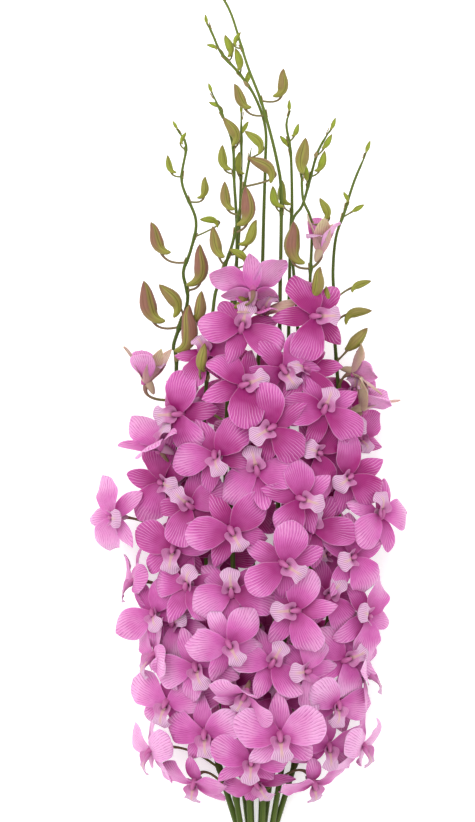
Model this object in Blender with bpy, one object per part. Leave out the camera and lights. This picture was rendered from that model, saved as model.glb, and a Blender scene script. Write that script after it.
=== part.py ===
"""A bunch of ten cut dendrobium orchid sprays, tied with a rubber band and lying on a flat surface.

Metres, +Z up. The origin is the middle of the band's flat underside. The stems lie along Y, with their
cut ends at -Y and their tips at +Y, and the side that faces +Z is the one that is seen.
"""

import math

import bmesh
import bpy
from mathutils import Matrix, Vector

MM = 0.001

# A full-size bloom: the length and width of each tepal beyond its hub. A tepal's outline rises to its
# widest by one power and falls to its tip by another: a high first one moves the widest place out, and
# a low second one makes the tip blunt.
SEPAL_LENGTH = 26 * MM
SEPAL_WIDTH = 14 * MM
PETAL_LENGTH = 28 * MM
PETAL_WIDTH = 24 * MM
LIP_LENGTH = 17 * MM
LIP_WIDTH = 13 * MM
SEPAL_OUTLINE = (0.6, 0.62)
PETAL_OUTLINE = (0.85, 0.5)
LIP_OUTLINE = (0.7, 0.6)
TEPAL_THICKNESS = 1.3 * MM
HUB_RADIUS = 4.0 * MM
SPUR_REACH = 8.0 * MM
SPUR_RADIUS = 1.7 * MM
# How far an unopened bloom's tepals stand up out of its face. A bloom that leans further round the side
# than one angle, or lies lower in the bunch than one height, has plainer petals.
CLOSED_PITCH = 80
PLAIN_LEAN = 55
PLAIN_HEIGHT = 61

# The stalks: the main stem tapers from its cut end to its tip.
STEM_RADIUS = 2.4 * MM
STEM_TIP_RADIUS = 0.9 * MM
PEDICEL_RADIUS = 1.1 * MM
PEDICEL_DROP = 13 * MM

# A bud: its stalk, and its widest half and the reach of its spur as shares of its length.
BUD_STALK_RADIUS = 0.75 * MM
BUD_SLIMNESS = 0.22
BUD_SPUR = 0.42

# The band: ten stems stand in it, eight in a ring and two in the middle.
BAND_BORE = 11.7 * MM
BAND_WALL = 1.2 * MM
BAND_LENGTH = 7 * MM
BAND_HEIGHT = 12.6 * MM
RING_OF_STEMS = 8.8 * MM
STEMS_IN_MIDDLE = 2.9 * MM
CUT_END = -46 * MM

# Room left round a spray where it passes another, and the steps along a stem's route: fine ones for
# finding where a stalk leaves it, coarse ones for its solid.
CLEARANCE = 0.45 * MM
FINE_STEP = 4 * MM
COARSE_STEP = 75 * MM
FLOOR_BLOCK = (600 * MM, 1600 * MM, 100 * MM)

COLLECTION = "dendrobium orchid"

# Each spray: where it stands in the band (degrees round the ring, or a side of the middle), its stem's
# route from 100 mm up, its blooms and its buds, all in millimetres.
# A bloom is x, y, z, the way its lip points, how far it leans from facing straight up, the way it leans
# to, its size and how far it is open. Directions are degrees counter-clockwise from +X.
# A bud is x, y, z, its length and the way it points.
SPRAYS = {
    "spray_01": {
        "slot": 67.5,
        "route": [(7, 100, 48), (14, 200, 62), (15, 300, 68), (16, 400, 70), (17, 476, 68), (14, 504, 66),
                  (4, 543, 62), (-7, 573, 58), (-18, 609, 52), (-27, 626, 48)],
        "blooms": [(10, 317, 94, 205, 12, 200, 1.0, 1.0), (0, 286, 84, 105, 15, 100, 1.0, 1.0),
                   (30, 268, 90, 350, 15, 340, 0.95, 1.0), (18, 223, 93, 328, 10, 330, 1.0, 1.0),
                   (27, 190, 83, 178, 12, 180, 1.0, 1.0), (16, 103, 84, 270, 5, 270, 1.1, 1.0),
                   (4, 396, 74, 60, 62, 90, 0.85, 0.6), (10, 152, 78, 60, 14, 60, 0.95, 1.0),
                   (18, 358, 82, 300, 22, 300, 0.95, 1.0)],
        "buds": [(18, 560, 60, 18, 88), (-12, 550, 60, 18, 112), (-14, 592, 55, 9, 60),
                 (12, 478, 74, 14, 100), (-26, 628, 48, 6, 120)],
    },
    "spray_02": {
        "slot": "left",
        "route": [(-5, 100, 33), (-3, 200, 38), (-2, 300, 44), (3, 400, 52), (5, 470, 54), (6, 504, 56),
                  (6, 528, 58), (-1, 550, 53), (-12, 567, 50), (-25, 582, 48), (-31, 595, 47),
                  (-36, 606, 46)],
        "blooms": [(2, 352, 14, 250, 160, 200, 0.95, 1.0), (-4, 262, 12, 70, 164, 60, 0.95, 1.0),
                   (3, 172, 12, 280, 162, 300, 0.95, 1.0), (0, 66, 50, 300, 42, 275, 0.9, 1.0)],
        "buds": [(-36, 607, 46, 6, 100), (-32, 587, 50, 7, 165), (-20, 588, 50, 14, 112),
                 (-13, 578, 52, 14, 105), (-6, 566, 48, 9, 75)],
    },
    "spray_03": {
        "slot": 112.5,
        "route": [(-8, 100, 48), (-16, 200, 64), (-18, 300, 70), (-16, 380, 72), (-14, 448, 70),
                  (-16, 490, 68), (-17, 515, 66), (-23, 533, 64), (-32, 553, 62)],
        "blooms": [(-3, 412, 90, 268, 138, 92, 1.0, 0.65), (-11, 385, 84, 75, 24, 80, 1.0, 1.0),
                   (-10, 346, 92, 18, 14, 20, 1.0, 1.0), (-18, 246, 92, 300, 8, 300, 1.0, 1.0),
                   (-18, 202, 83, 90, 14, 90, 1.0, 1.0), (-20, 168, 90, 300, 10, 300, 0.95, 1.0),
                   (-8, 133, 84, 250, 58, 250, 0.9, 0.7), (-4, 84, 68, 270, 16, 270, 0.95, 1.0)],
        "buds": [(-24, 506, 70, 16, 96), (-18, 526, 70, 18, 125), (-30, 544, 62, 8, 160),
                 (-33, 556, 62, 6, 110), (-11, 415, 76, 24, 100)],
    },
    "spray_04": {
        "slot": 247.5,
        "route": [(-14, 100, 24), (-22, 200, 32), (-22, 300, 34), (-18, 400, 42), (-13, 448, 46),
                  (-11, 500, 50), (-11, 522, 50), (-11, 540, 50)],
        "blooms": [(-44, 332, 9, 100, 164, 170, 1.0, 1.0), (-38, 244, 12, 300, 158, 200, 0.95, 1.0),
                   (-36, 160, 13, 60, 160, 190, 0.95, 1.0), (-30, 96, 18, 250, 150, 220, 0.9, 1.0),
                   (-27, 226, 58, 250, 12, 180, 0.95, 1.0)],
        "buds": [(-13, 504, 56, 14, 85), (-15, 528, 50, 8, 130), (-8, 530, 50, 8, 60),
                 (-11, 543, 50, 6, 90)],
    },
    "spray_05": {
        "slot": 202.5,
        "route": [(-34, 100, 34), (-54, 200, 38), (-58, 300, 42), (-57, 365, 48), (-59, 375, 49),
                  (-49, 406, 52), (-52, 426, 54), (-47, 441, 55), (-43, 463, 56), (-53, 490, 55),
                  (-50, 516, 53), (-57, 528, 52)],
        "blooms": [(-78, 349, 54, 350, 80, 85, 0.95, 0.45), (-54, 326, 68, 180, 32, 180, 1.0, 1.0),
                   (-68, 302, 66, 20, 74, 122, 1.0, 0.6), (-66, 278, 56, 355, 34, 185, 1.0, 1.0),
                   (-101, 253, 50, 0, 32, 182, 0.95, 1.0), (-58, 232, 66, 270, 20, 200, 1.0, 1.0),
                   (-86, 206, 36, 220, 84, 180, 0.9, 1.0), (-71, 155, 52, 235, 72, 185, 1.0, 1.0),
                   (-63, 122, 54, 265, 28, 195, 1.0, 1.0), (-74, 86, 42, 250, 68, 195, 0.95, 1.0),
                   (-72, 186, 54, 320, 36, 190, 0.95, 1.0)],
        "buds": [(-52, 522, 53, 8, 60), (-58, 531, 52, 6, 120), (-62, 503, 54, 12, 102),
                 (-37, 486, 60, 14, 88), (-34, 463, 58, 12, 175), (-71, 451, 52, 22, 106),
                 (-40, 432, 60, 26, 92), (-77, 406, 50, 28, 102), (-61, 409, 58, 22, 132),
                 (-40, 402, 66, 20, 84), (-48, 387, 66, 30, 92)],
    },
    "spray_06": {
        "slot": 157.5,
        "route": [(-22, 100, 43), (-34, 200, 54), (-38, 300, 58), (-31, 396, 76), (-26, 419, 80),
                  (-17, 445, 84), (-9, 484, 84), (-4, 511, 84)],
        "blooms": [(-28, 298, 82, 305, 16, 200, 1.0, 1.0), (-48, 206, 74, 60, 20, 165, 1.0, 1.0),
                   (-42, 150, 74, 300, 12, 200, 1.0, 1.0), (-36, 102, 64, 280, 18, 220, 1.0, 1.0),
                   (-46, 262, 72, 140, 20, 165, 0.95, 1.0), (-34, 368, 72, 120, 40, 120, 0.85, 1.0),
                   (-58, 178, 54, 20, 30, 175, 0.95, 1.0), (-44, 64, 40, 250, 60, 240, 0.9, 1.0),
                   (-18, 134, 60, 80, 12, 200, 0.95, 1.0)],
        "buds": [(-2, 517, 86, 16, 140), (3, 499, 86, 20, 152), (-22, 478, 84, 18, 96),
                 (-7, 471, 88, 24, 92), (-4, 452, 86, 18, 72), (-13, 437, 88, 14, 150),
                 (-29, 446, 84, 20, 102), (-38, 366, 88, 18, 80)],
    },
    "spray_07": {
        "slot": 292.5,
        "route": [(14, 100, 24), (20, 200, 32), (22, 300, 34), (23, 400, 42), (24, 455, 48), (25, 476, 50),
                  (24, 511, 52), (21, 531, 52), (24, 541, 52)],
        "blooms": [(44, 332, 9, 80, 164, 10, 1.0, 1.0), (38, 250, 12, 240, 158, 340, 0.95, 1.0),
                   (36, 166, 13, 120, 160, 350, 0.95, 1.0), (30, 98, 18, 290, 150, 320, 0.9, 1.0),
                   (14, 126, 58, 110, 12, 0, 0.95, 1.0)],
        "buds": [(23, 545, 52, 7, 90), (28, 527, 54, 9, 70), (18, 483, 56, 16, 92),
                 (19, 520, 52, 8, 130)],
    },
    "spray_08": {
        "slot": "right",
        "route": [(7, 100, 36), (26, 200, 48), (33, 300, 52), (28, 400, 58), (24, 456, 61), (32, 473, 62),
                  (37, 490, 62), (43, 511, 61), (52, 527, 60)],
        "blooms": [(34, 356, 74, 185, 32, 70, 0.95, 1.0), (38, 246, 76, 100, 20, 40, 0.95, 1.0),
                   (50, 198, 62, 60, 20, 20, 0.95, 1.0),
                   (40, 64, 42, 290, 60, 300, 0.9, 1.0)],
        "buds": [(54, 531, 60, 8, 70), (50, 518, 62, 11, 60), (46, 504, 63, 14, 74),
                 (34, 497, 64, 12, 100)],
    },
    "spray_09": {
        "slot": 337.5,
        "route": [(34, 100, 34), (54, 200, 40), (60, 300, 42), (55, 385, 48), (55, 406, 50), (54, 427, 51),
                  (56, 451, 52), (62, 469, 52), (69, 491, 51), (78, 512, 50)],
        "blooms": [(64, 282, 66, 210, 26, 10, 1.0, 1.0), (75, 330, 56, 150, 80, 50, 0.95, 0.45),
                   (66, 226, 68, 195, 22, 5, 1.0, 1.0), (86, 255, 56, 120, 40, 20, 1.0, 1.0),
                   (77, 183, 54, 170, 34, 5, 1.0, 1.0), (62, 153, 58, 20, 28, 10, 0.95, 1.0),
                   (76, 140, 44, 300, 76, 10, 0.95, 1.0), (74, 90, 42, 280, 66, 345, 0.95, 1.0),
                   (68, 356, 50, 60, 84, 20, 0.85, 0.6), (60, 314, 54, 20, 30, 10, 0.95, 1.0)],
        "buds": [(79, 516, 50, 8, 70), (72, 472, 52, 9, 30), (63, 480, 54, 7, 120),
                 (74, 418, 54, 14, 20), (72, 398, 54, 18, 10), (71, 379, 58, 20, 48)],
    },
    "spray_10": {
        "slot": 22.5,
        "route": [(22, 100, 44), (36, 200, 62), (44, 300, 66), (38, 380, 72), (37, 416, 75), (38, 458, 77),
                  (32, 476, 78), (31, 497, 78)],
        "blooms": [(40, 394, 84, 3, 24, 0, 1.0, 1.0), (46, 329, 83, 75, 18, 50, 1.0, 1.0),
                   (42, 299, 75, 170, 20, 0, 1.0, 1.0), (34, 147, 76, 185, 14, 10, 1.0, 1.0),
                   (56, 122, 62, 250, 24, 340, 0.95, 1.0), (50, 92, 54, 260, 26, 320, 0.95, 1.0),
                   (44, 440, 80, 268, 80, 88, 0.9, 0.25)],
        "buds": [(32, 507, 78, 22, 80), (25, 446, 84, 26, 86), (47, 470, 80, 14, 118),
                 (42, 418, 84, 20, 84), (48, 407, 76, 16, 86)],
    },
}


def clear_scene():
    for item in list(bpy.data.objects):
        bpy.data.objects.remove(item, do_unlink=True)


def make_collection(name):
    group = bpy.data.collections.new(name)
    bpy.context.scene.collection.children.link(group)
    return group


def material(name, colour, roughness):
    made = bpy.data.materials.new(name)
    made.use_nodes = True
    shader = made.node_tree.nodes["Principled BSDF"]
    shader.inputs["Base Color"].default_value = (*colour, 1)
    shader.inputs["Roughness"].default_value = roughness
    shader.inputs["Metallic"].default_value = 0
    return made


def new_object(name, shape, group):
    mesh = bpy.data.meshes.new(name)
    shape.to_mesh(mesh)
    shape.free()
    made = bpy.data.objects.new(name, mesh)
    group.objects.link(made)
    return made


def heading(degrees):
    return Vector((math.cos(math.radians(degrees)), math.sin(math.radians(degrees)), 0))


def facing(lip, lean, toward):
    """The axes of a bloom: across its face, toward its dorsal sepal, and out of its face."""
    out = heading(toward) * math.sin(math.radians(lean)) + Vector((0, 0, math.cos(math.radians(lean))))
    down = heading(lip)
    down = (down - out * down.dot(out)).normalized()
    return (-down).cross(out), -down, out


def smooth_route(points, longest):
    """Points along a Catmull-Rom curve through the given ones, no further apart than the longest step."""
    ends = [points[0] * 2 - points[1]] + points + [points[-1] * 2 - points[-2]]
    route = []
    for a, b, c, d in zip(ends, ends[1:], ends[2:], ends[3:]):
        steps = math.ceil((c - b).length / longest)
        for step in range(steps):
            t = step / steps
            route.append(0.5 * (2 * b + (c - a) * t + (2 * a - 5 * b + 4 * c - d) * t * t
                                + (3 * b - a - 3 * c + d) * t ** 3))
    return route + [points[-1]]


def tube(name, points, radii, group):
    """A closed six-sided tube along the points, made from a curve with a bevel and welded caps."""
    curve = bpy.data.curves.new(name, "CURVE")
    curve.dimensions = "3D"
    curve.bevel_depth = 1
    curve.bevel_resolution = 1
    curve.use_fill_caps = True
    spline = curve.splines.new("POLY")
    spline.points.add(len(points) - 1)
    for slot, point, radius in zip(spline.points, points, radii):
        slot.co = (*point, 1)
        slot.radius = radius
    guide = bpy.data.objects.new(name, curve)
    group.objects.link(guide)
    bpy.context.view_layer.update()
    shape = bmesh.new()
    bevelled = guide.evaluated_get(bpy.context.evaluated_depsgraph_get())
    shape.from_mesh(bpy.data.meshes.new_from_object(bevelled))
    bmesh.ops.remove_doubles(shape, verts=shape.verts, dist=1e-6)
    bmesh.ops.triangulate(shape, faces=shape.faces)
    bpy.data.objects.remove(guide)
    return new_object(name, shape, group)


def ring_of(centre, along, radius, sides):
    """Corners of a regular ring across a direction."""
    side = along.cross(Vector((0, 0, 1)) if abs(along.z) < 0.9 else Vector((1, 0, 0))).normalized()
    other = along.cross(side)
    angles = [math.tau * step / sides for step in range(sides)]
    return [centre + (side * math.cos(angle) + other * math.sin(angle)) * radius for angle in angles]


def skin(shape, rings):
    """Lofts faces along rings of equal count, split alike on every side; the last ring may be one point."""
    made = [[shape.verts.new(corner) for corner in ring] for ring in rings]
    for low, high in zip(made, made[1:]):
        count = len(low)
        for side in range(count):
            after = (side + 1) % count
            if len(high) == 1:
                shape.faces.new([low[side], low[after], high[0]])
            else:
                shape.faces.new([low[side], low[after], high[after]])
                shape.faces.new([low[side], high[after], high[side]])
    return made


def width_at(t, outline):
    """The width of a tepal as a share of its widest, from its base at 0 to its tip at 1."""
    peak, blunt = outline
    t = 0.05 + 0.95 * t
    best = peak / (peak + blunt)
    return t ** peak * (1 - t) ** blunt / (best ** peak * (1 - best) ** blunt)


def tepal_rings(axes, base, length, width, outline, root_pitch, pitch, bend, sections):
    """The sections of a tepal along an arc: two rims and a low ridge between them, then the tip.

    axes are along the tepal, across it and out of the bloom's face. It leaves the hub square to its
    root pitch, sets off at its pitch and bends.
    """
    along, across, out = axes
    start, turn = math.radians(pitch), math.radians(bend)
    half = TEPAL_THICKNESS / 2
    rings = []
    for t in sections:
        angle = start + turn * t
        run = length / turn
        point = (base + along * run * (math.sin(angle) - math.sin(start))
                 - out * run * (math.cos(angle) - math.cos(start)))
        if t == 0:
            angle = math.radians(root_pitch)
        normal = out * math.cos(angle) - along * math.sin(angle)
        if t == 1:
            rings.append([point])
        else:
            reach = width / 2 * width_at(t, outline)
            rings.append([point - across * reach - normal * half, point + normal * half,
                          point + across * reach - normal * half])
    return rings


def pedicel_rings(root, end, arrive):
    """A three-sided stalk that leaves the stem at its root and bends over to reach the back of a bloom."""
    knee = end - arrive * (end - root).length * 0.42
    middle = (root + 2 * knee + end) / 4
    ways = ((middle - root).normalized(), (end - root).normalized(), arrive)
    return [ring_of(point, way, PEDICEL_RADIUS, 3) for point, way in zip((root, middle, end), ways)]


def bloom_arms(place, root):
    """The sections of all that grows out of a bloom's hub: tepals, lip, spur and its stalk."""
    x, y, z, lip, lean, toward, size, opened = place
    centre = Vector((x, y, z)) * MM
    across, up, out = facing(lip, lean, toward)
    closing = (1 - opened) * CLOSED_PITCH
    plain = (0, 0.55, 1)
    shaped = plain if lean > PLAIN_LEAN or z < PLAIN_HEIGHT else (0, 0.42, 0.8, 1)
    # Each kind: its angle in the face, length, width, outline, how far from the middle of the hub it
    # starts (in hub radii) and how far in front of it, the pitches it leaves and sets off at, and its bend.
    kinds = [
        (90, SEPAL_LENGTH, SEPAL_WIDTH, SEPAL_OUTLINE, 1.0, -1.2, 0, 10 + closing, -28),
        (-42, SEPAL_LENGTH, SEPAL_WIDTH, SEPAL_OUTLINE, 1.05, -1.2, 0, 8 + closing, -28),
        (222, SEPAL_LENGTH, SEPAL_WIDTH, SEPAL_OUTLINE, 1.05, -1.2, 0, 8 + closing, -28),
        (20, PETAL_LENGTH, PETAL_WIDTH, PETAL_OUTLINE, 1.1, 0.9, 0, 17 + closing * 0.9, -36),
        (160, PETAL_LENGTH, PETAL_WIDTH, PETAL_OUTLINE, 1.1, 0.9, 0, 17 + closing * 0.9, -36),
        (-90, LIP_LENGTH, LIP_WIDTH, LIP_OUTLINE, 0.6, 3.2, 62, 62, -78),
    ]
    arms = []
    for angle, length, width, outline, reach, rise, root_pitch, pitch, bend in kinds:
        turn = math.radians(angle)
        along = across * math.cos(turn) + up * math.sin(turn)
        beside = up * math.cos(turn) - across * math.sin(turn)
        base = centre + (out * rise * MM + along * HUB_RADIUS * reach) * size
        arms.append(tepal_rings((along, beside, out), base, length * size, width * size, outline,
                                root_pitch, pitch, bend, shaped if width == PETAL_WIDTH else plain))
    spur = (-up * 0.6 - out * 0.8).normalized()
    spur_root = centre - (up * 3.6 + out * 3.0) * MM * size
    arms.append([ring_of(spur_root, spur, SPUR_RADIUS * size, 3), [spur_root + spur * SPUR_REACH * size]])
    end = centre + (up * 0.6 - out * 4.4) * MM * size
    stalk = pedicel_rings(root, end, out)
    arms.append(stalk[::-1])
    column = centre + (out * 4.4 + up * 1.0) * MM * size
    return arms, column


def bloom(name, place, root, group):
    """One closed body: the hub is the hull round the roots of its arms, which it opens into.

    Returns the sections of each arm, and the corners of the hub.
    """
    arms, column = bloom_arms(place, root)
    shape = bmesh.new()
    roots = []
    for rings in arms:
        made = skin(shape, rings)
        roots.append(set(made[0]))
        if len(made[-1]) > 1:
            shape.faces.new(made[-1])
    middle = [shape.verts.new(column)]
    hull = bmesh.ops.convex_hull(shape, input=middle + [vert for ring in roots for vert in ring])
    inner = [face for face in hull["geom"] if isinstance(face, bmesh.types.BMFace)
             and any(set(face.verts) <= ring for ring in roots)]
    bmesh.ops.delete(shape, geom=inner, context="FACES_ONLY")
    bmesh.ops.recalc_face_normals(shape, faces=shape.faces)
    new_object(name, shape, group)
    return [*arms, [[column, *(corner for rings in arms for corner in rings[0])]]]


def bud(name, centre, length, points, root, group):
    """A closed bud on its stalk: a loft that swells behind its middle and narrows to a blunt tip.

    The side of it that faces back to the stem is drawn out into a spur.
    """
    long = (heading(points) + Vector((0, 0, 0.12))).normalized()
    widest = length * BUD_SLIMNESS
    base = centre - long * length * 0.5
    way = (base - root).normalized()
    back = (root - centre).normalized() + Vector((0, 0, 0.35))
    hook = (back - long * back.dot(long)).normalized()
    spur = base + (hook - long * 0.15) * length * BUD_SPUR
    rings = [ring_of(root, way, BUD_STALK_RADIUS, 4), ring_of(base, long, BUD_STALK_RADIUS * 1.3, 4),
             ring_of(centre - long * length * 0.18, long, widest, 4),
             ring_of(centre + long * length * 0.2, long, widest * 0.86, 4), [centre + long * length * 0.5]]
    shape = bmesh.new()
    made = skin(shape, rings)
    facing_back = max(range(4), key=lambda side: (rings[2][side] + rings[2][(side + 1) % 4]).dot(hook))
    after = (facing_back + 1) % 4
    flank = [made[1][facing_back], made[1][after], made[2][after], made[2][facing_back]]
    opened = [face for face in shape.faces if set(face.verts) <= set(flank)]
    bmesh.ops.delete(shape, geom=opened, context="FACES")
    tip = shape.verts.new(spur)
    for low, high in zip(flank, flank[1:] + flank[:1]):
        shape.faces.new([low, high, tip])
    shape.faces.new(made[0])
    bmesh.ops.triangulate(shape, faces=[face for face in shape.faces if len(face.verts) > 3])
    bmesh.ops.recalc_face_normals(shape, faces=shape.faces)
    new_object(name, shape, group)
    return rings, [rings[1] + rings[2] + [spur]]


def stem_route(slot, route):
    """The stem from its cut end, through the band, out to its own route."""
    if slot == "left":
        across, height = -STEMS_IN_MIDDLE, 0
    elif slot == "right":
        across, height = STEMS_IN_MIDDLE, 0
    else:
        across = RING_OF_STEMS * math.cos(math.radians(slot))
        height = RING_OF_STEMS * math.sin(math.radians(slot))
    low = [Vector((across * 1.25, CUT_END, BAND_HEIGHT + height * 1.1)),
           Vector((across, -BAND_LENGTH, BAND_HEIGHT + height)),
           Vector((across, BAND_LENGTH, BAND_HEIGHT + height))]
    return low + [Vector(point) * MM for point in route]


def stem_radius(point, tip):
    share = (point.y - CUT_END) / (tip.y - CUT_END)
    return STEM_RADIUS + (STEM_TIP_RADIUS - STEM_RADIUS) * min(max(share, 0), 1)


def nearest(route, y):
    return min(route, key=lambda point: abs(point.y - y))


def spray_bodies(name, group):
    """Every body of one spray, loose, in a group; returns the sections of each length of each."""
    spray = SPRAYS[name]
    stations = stem_route(spray["slot"], spray["route"])
    fine = smooth_route(stations, FINE_STEP)
    coarse = smooth_route(stations, COARSE_STEP)
    tip = stations[-1]
    radii = [stem_radius(point, tip) for point in coarse]
    stem = tube(name + "_stem", coarse, radii, group)
    chains = [[ring_of(point, (after - point).normalized(), radius, 6)
               for point, after, radius in zip(coarse, coarse[1:] + [coarse[-1] * 2 - coarse[-2]], radii)]]
    for number, place in enumerate(spray["blooms"]):
        root = nearest(fine, place[1] * MM - PEDICEL_DROP)
        chains += bloom(f"{name}_bloom_{number}", place, root, group)
    for number, (x, y, z, length, points) in enumerate(spray["buds"]):
        root = nearest(fine, y * MM - length * MM * 0.6 - 3 * MM)
        centre = Vector((x, y, z)) * MM
        chains += bud(f"{name}_bud_{number}", centre, length * MM, points, root, group)
    return chains


def clearance_bodies(name, chains, group):
    """A slightly larger copy of each length of a spray, as hulls, for making room for it in another."""
    ways = [Vector(way) * CLEARANCE for way in
            ((1, 0, 0), (-1, 0, 0), (0, 1, 0), (0, -1, 0), (0, 0, 1), (0, 0, -1))]
    for chain in chains:
        lengths = list(zip(chain, chain[1:])) or [(chain[0], [])]
        for low, high in lengths:
            shape = bmesh.new()
            for corner in low + high:
                for way in ways:
                    shape.verts.new(corner + way)
            hull = bmesh.ops.convex_hull(shape, input=shape.verts)
            inside = set(hull["geom_interior"] + hull["geom_unused"])
            bmesh.ops.delete(shape, geom=list(inside), context="VERTS")
            bmesh.ops.recalc_face_normals(shape, faces=shape.faces)
            new_object(name + "_room", shape, group)


def combine(target, group, operation):
    """One Boolean of the target with all that is in the group, applied."""
    change = target.modifiers.new(operation.lower(), "BOOLEAN")
    change.operation = operation
    change.solver = "MANIFOLD"
    change.operand_type = "COLLECTION"
    change.collection = group
    bpy.context.view_layer.update()
    mesh = bpy.data.meshes.new_from_object(target.evaluated_get(bpy.context.evaluated_depsgraph_get()))
    target.modifiers.clear()
    target.data = mesh


def drop_group(group):
    for item in list(group.objects):
        bpy.data.objects.remove(item, do_unlink=True)
    bpy.data.collections.remove(group)


def islands(shape):
    """The connected pieces of a mesh, as lists of faces."""
    left = set(shape.faces)
    found = []
    while left:
        queue = [left.pop()]
        piece = []
        while queue:
            face = queue.pop()
            piece.append(face)
            for edge in face.edges:
                for other in edge.link_faces:
                    if other in left:
                        left.remove(other)
                        queue.append(other)
        found.append(piece)
    return found


def keep_largest(target):
    """Leaves only the piece with the most faces: loose scraps go, and sealed hollows are filled.

    Returns how many faces each dropped piece had.
    """
    shape = bmesh.new()
    shape.from_mesh(target.data)
    pieces = sorted(islands(shape), key=len)
    for piece in pieces[:-1]:
        bmesh.ops.delete(shape, geom=piece, context="FACES")
    bmesh.ops.triangulate(shape, faces=shape.faces)
    shape.to_mesh(target.data)
    shape.free()
    return [len(piece) for piece in pieces[:-1]]


def united(bodies, name):
    """All the bodies of a group as one object, which is left outside it."""
    first, *rest = bodies.objects
    bodies.objects.unlink(first)
    bpy.context.scene.collection.objects.link(first)
    combine(first, bodies, "UNION")
    drop_group(bodies)
    bpy.context.scene.collection.objects.unlink(first)
    first.name = name
    return first


def rubber_band(group, finish):
    """A turned ring with a flat spot where it rests."""
    shape = bmesh.new()
    radii = (BAND_BORE, BAND_BORE + BAND_WALL)
    profile = [(radii[0], -BAND_LENGTH / 2), (radii[1], -BAND_LENGTH / 2), (radii[1], BAND_LENGTH / 2),
               (radii[0], BAND_LENGTH / 2)]
    verts = [shape.verts.new((radius, y, 0)) for radius, y in profile]
    edges = [shape.edges.new((verts[i], verts[(i + 1) % 4])) for i in range(4)]
    bmesh.ops.spin(shape, geom=verts + edges, cent=(0, 0, 0), axis=(0, 1, 0), angle=math.tau, steps=32)
    bmesh.ops.remove_doubles(shape, verts=shape.verts, dist=1e-6)
    bmesh.ops.translate(shape, verts=shape.verts, vec=(0, 0, BAND_HEIGHT))
    bmesh.ops.recalc_face_normals(shape, faces=shape.faces)
    band = new_object("rubber_band", shape, group)
    band.data.materials.append(finish)
    return band


def floor_block(group):
    """The space below the resting surface."""
    shape = bmesh.new()
    bmesh.ops.create_cube(shape, size=1, matrix=Matrix.Diagonal((*FLOOR_BLOCK, 1)))
    bmesh.ops.translate(shape, verts=shape.verts, vec=(0, 0, -FLOOR_BLOCK[2] / 2))
    block = new_object("surface", shape, group)
    block.hide_render = True
    block.display_type = "WIRE"
    return block


def room_for(name, chains, kind):
    """One body that is the room round some lengths of a spray."""
    bodies = make_collection(f"{name} {kind} room")
    clearance_bodies(f"{name}_{kind}", chains, bodies)
    return united(bodies, f"{name}_{kind}_room")


def cut(target, cutters):
    """Takes the resting surface and the given rooms out of a body."""
    group = make_collection("cutters")
    floor_block(group)
    for cutter in cutters:
        group.objects.link(cutter.copy())
    combine(target, group, "DIFFERENCE")
    drop_group(group)


def main():
    clear_scene()
    bunch = make_collection(COLLECTION)
    flower = material("orchid petal", (0.6, 0.12, 0.45), 0.55)
    rubber = material("rubber", (0.55, 0.33, 0.16), 0.7)
    growths = {}
    stems = {}
    growth_rooms = {}
    stem_rooms = {}
    for name in SPRAYS:
        bodies = make_collection(name + " bodies")
        chains = spray_bodies(name, bodies)
        stems[name] = bodies.objects[name + "_stem"]
        bodies.objects.unlink(stems[name])
        growths[name] = united(bodies, name)
        growth_rooms[name] = room_for(name, chains[1:], "growth")
        stem_rooms[name] = room_for(name, chains[:1], "stem")
    # Blooms make room for every other spray's stem, and for the blooms of the sprays before theirs.
    finished = []
    for name, target in growths.items():
        bunch.objects.link(target)
        cut(target, [growth_rooms[other] for other in finished]
            + [stem_rooms[other] for other in SPRAYS if other != name])
        own_stem = make_collection("own stem")
        own_stem.objects.link(stems[name])
        combine(target, own_stem, "UNION")
        drop_group(own_stem)
        dropped = keep_largest(target)
        target.data.materials.clear()
        target.data.materials.append(flower)
        finished.append(name)
        print(name, len(target.data.polygons), "faces, scraps dropped:", dropped)
    for room in [*growth_rooms.values(), *stem_rooms.values()]:
        bpy.data.objects.remove(room, do_unlink=True)
    cut(rubber_band(bunch, rubber), [])


main()
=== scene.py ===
# %% [markdown]
# # A tied bunch of cut dendrobium orchids
#
# The real object is ten flower stems, held by a rubber band and laid on a table. Each stem, or spray,
# carries open blooms low down and closed buds toward its tip. A petal is a thin waxy blade with fine
# veins, so most of the work here is one good blade shape, drawn many times with small differences.
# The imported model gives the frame, in metres and at the real size of the flowers.

import math
import random

import bpy
import numpy as np
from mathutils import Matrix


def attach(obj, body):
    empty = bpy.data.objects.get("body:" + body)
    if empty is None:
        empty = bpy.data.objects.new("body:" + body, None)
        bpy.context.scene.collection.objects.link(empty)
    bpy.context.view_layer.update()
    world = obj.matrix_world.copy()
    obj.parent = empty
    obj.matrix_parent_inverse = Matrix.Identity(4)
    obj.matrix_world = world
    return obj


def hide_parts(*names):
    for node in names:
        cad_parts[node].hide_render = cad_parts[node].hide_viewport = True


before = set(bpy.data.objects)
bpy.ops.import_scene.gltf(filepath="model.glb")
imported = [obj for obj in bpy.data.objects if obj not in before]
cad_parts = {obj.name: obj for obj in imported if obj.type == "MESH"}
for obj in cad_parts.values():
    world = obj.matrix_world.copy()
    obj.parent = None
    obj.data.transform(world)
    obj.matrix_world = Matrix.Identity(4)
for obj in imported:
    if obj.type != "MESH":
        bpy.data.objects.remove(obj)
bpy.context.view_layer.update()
MM = 0.001
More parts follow.
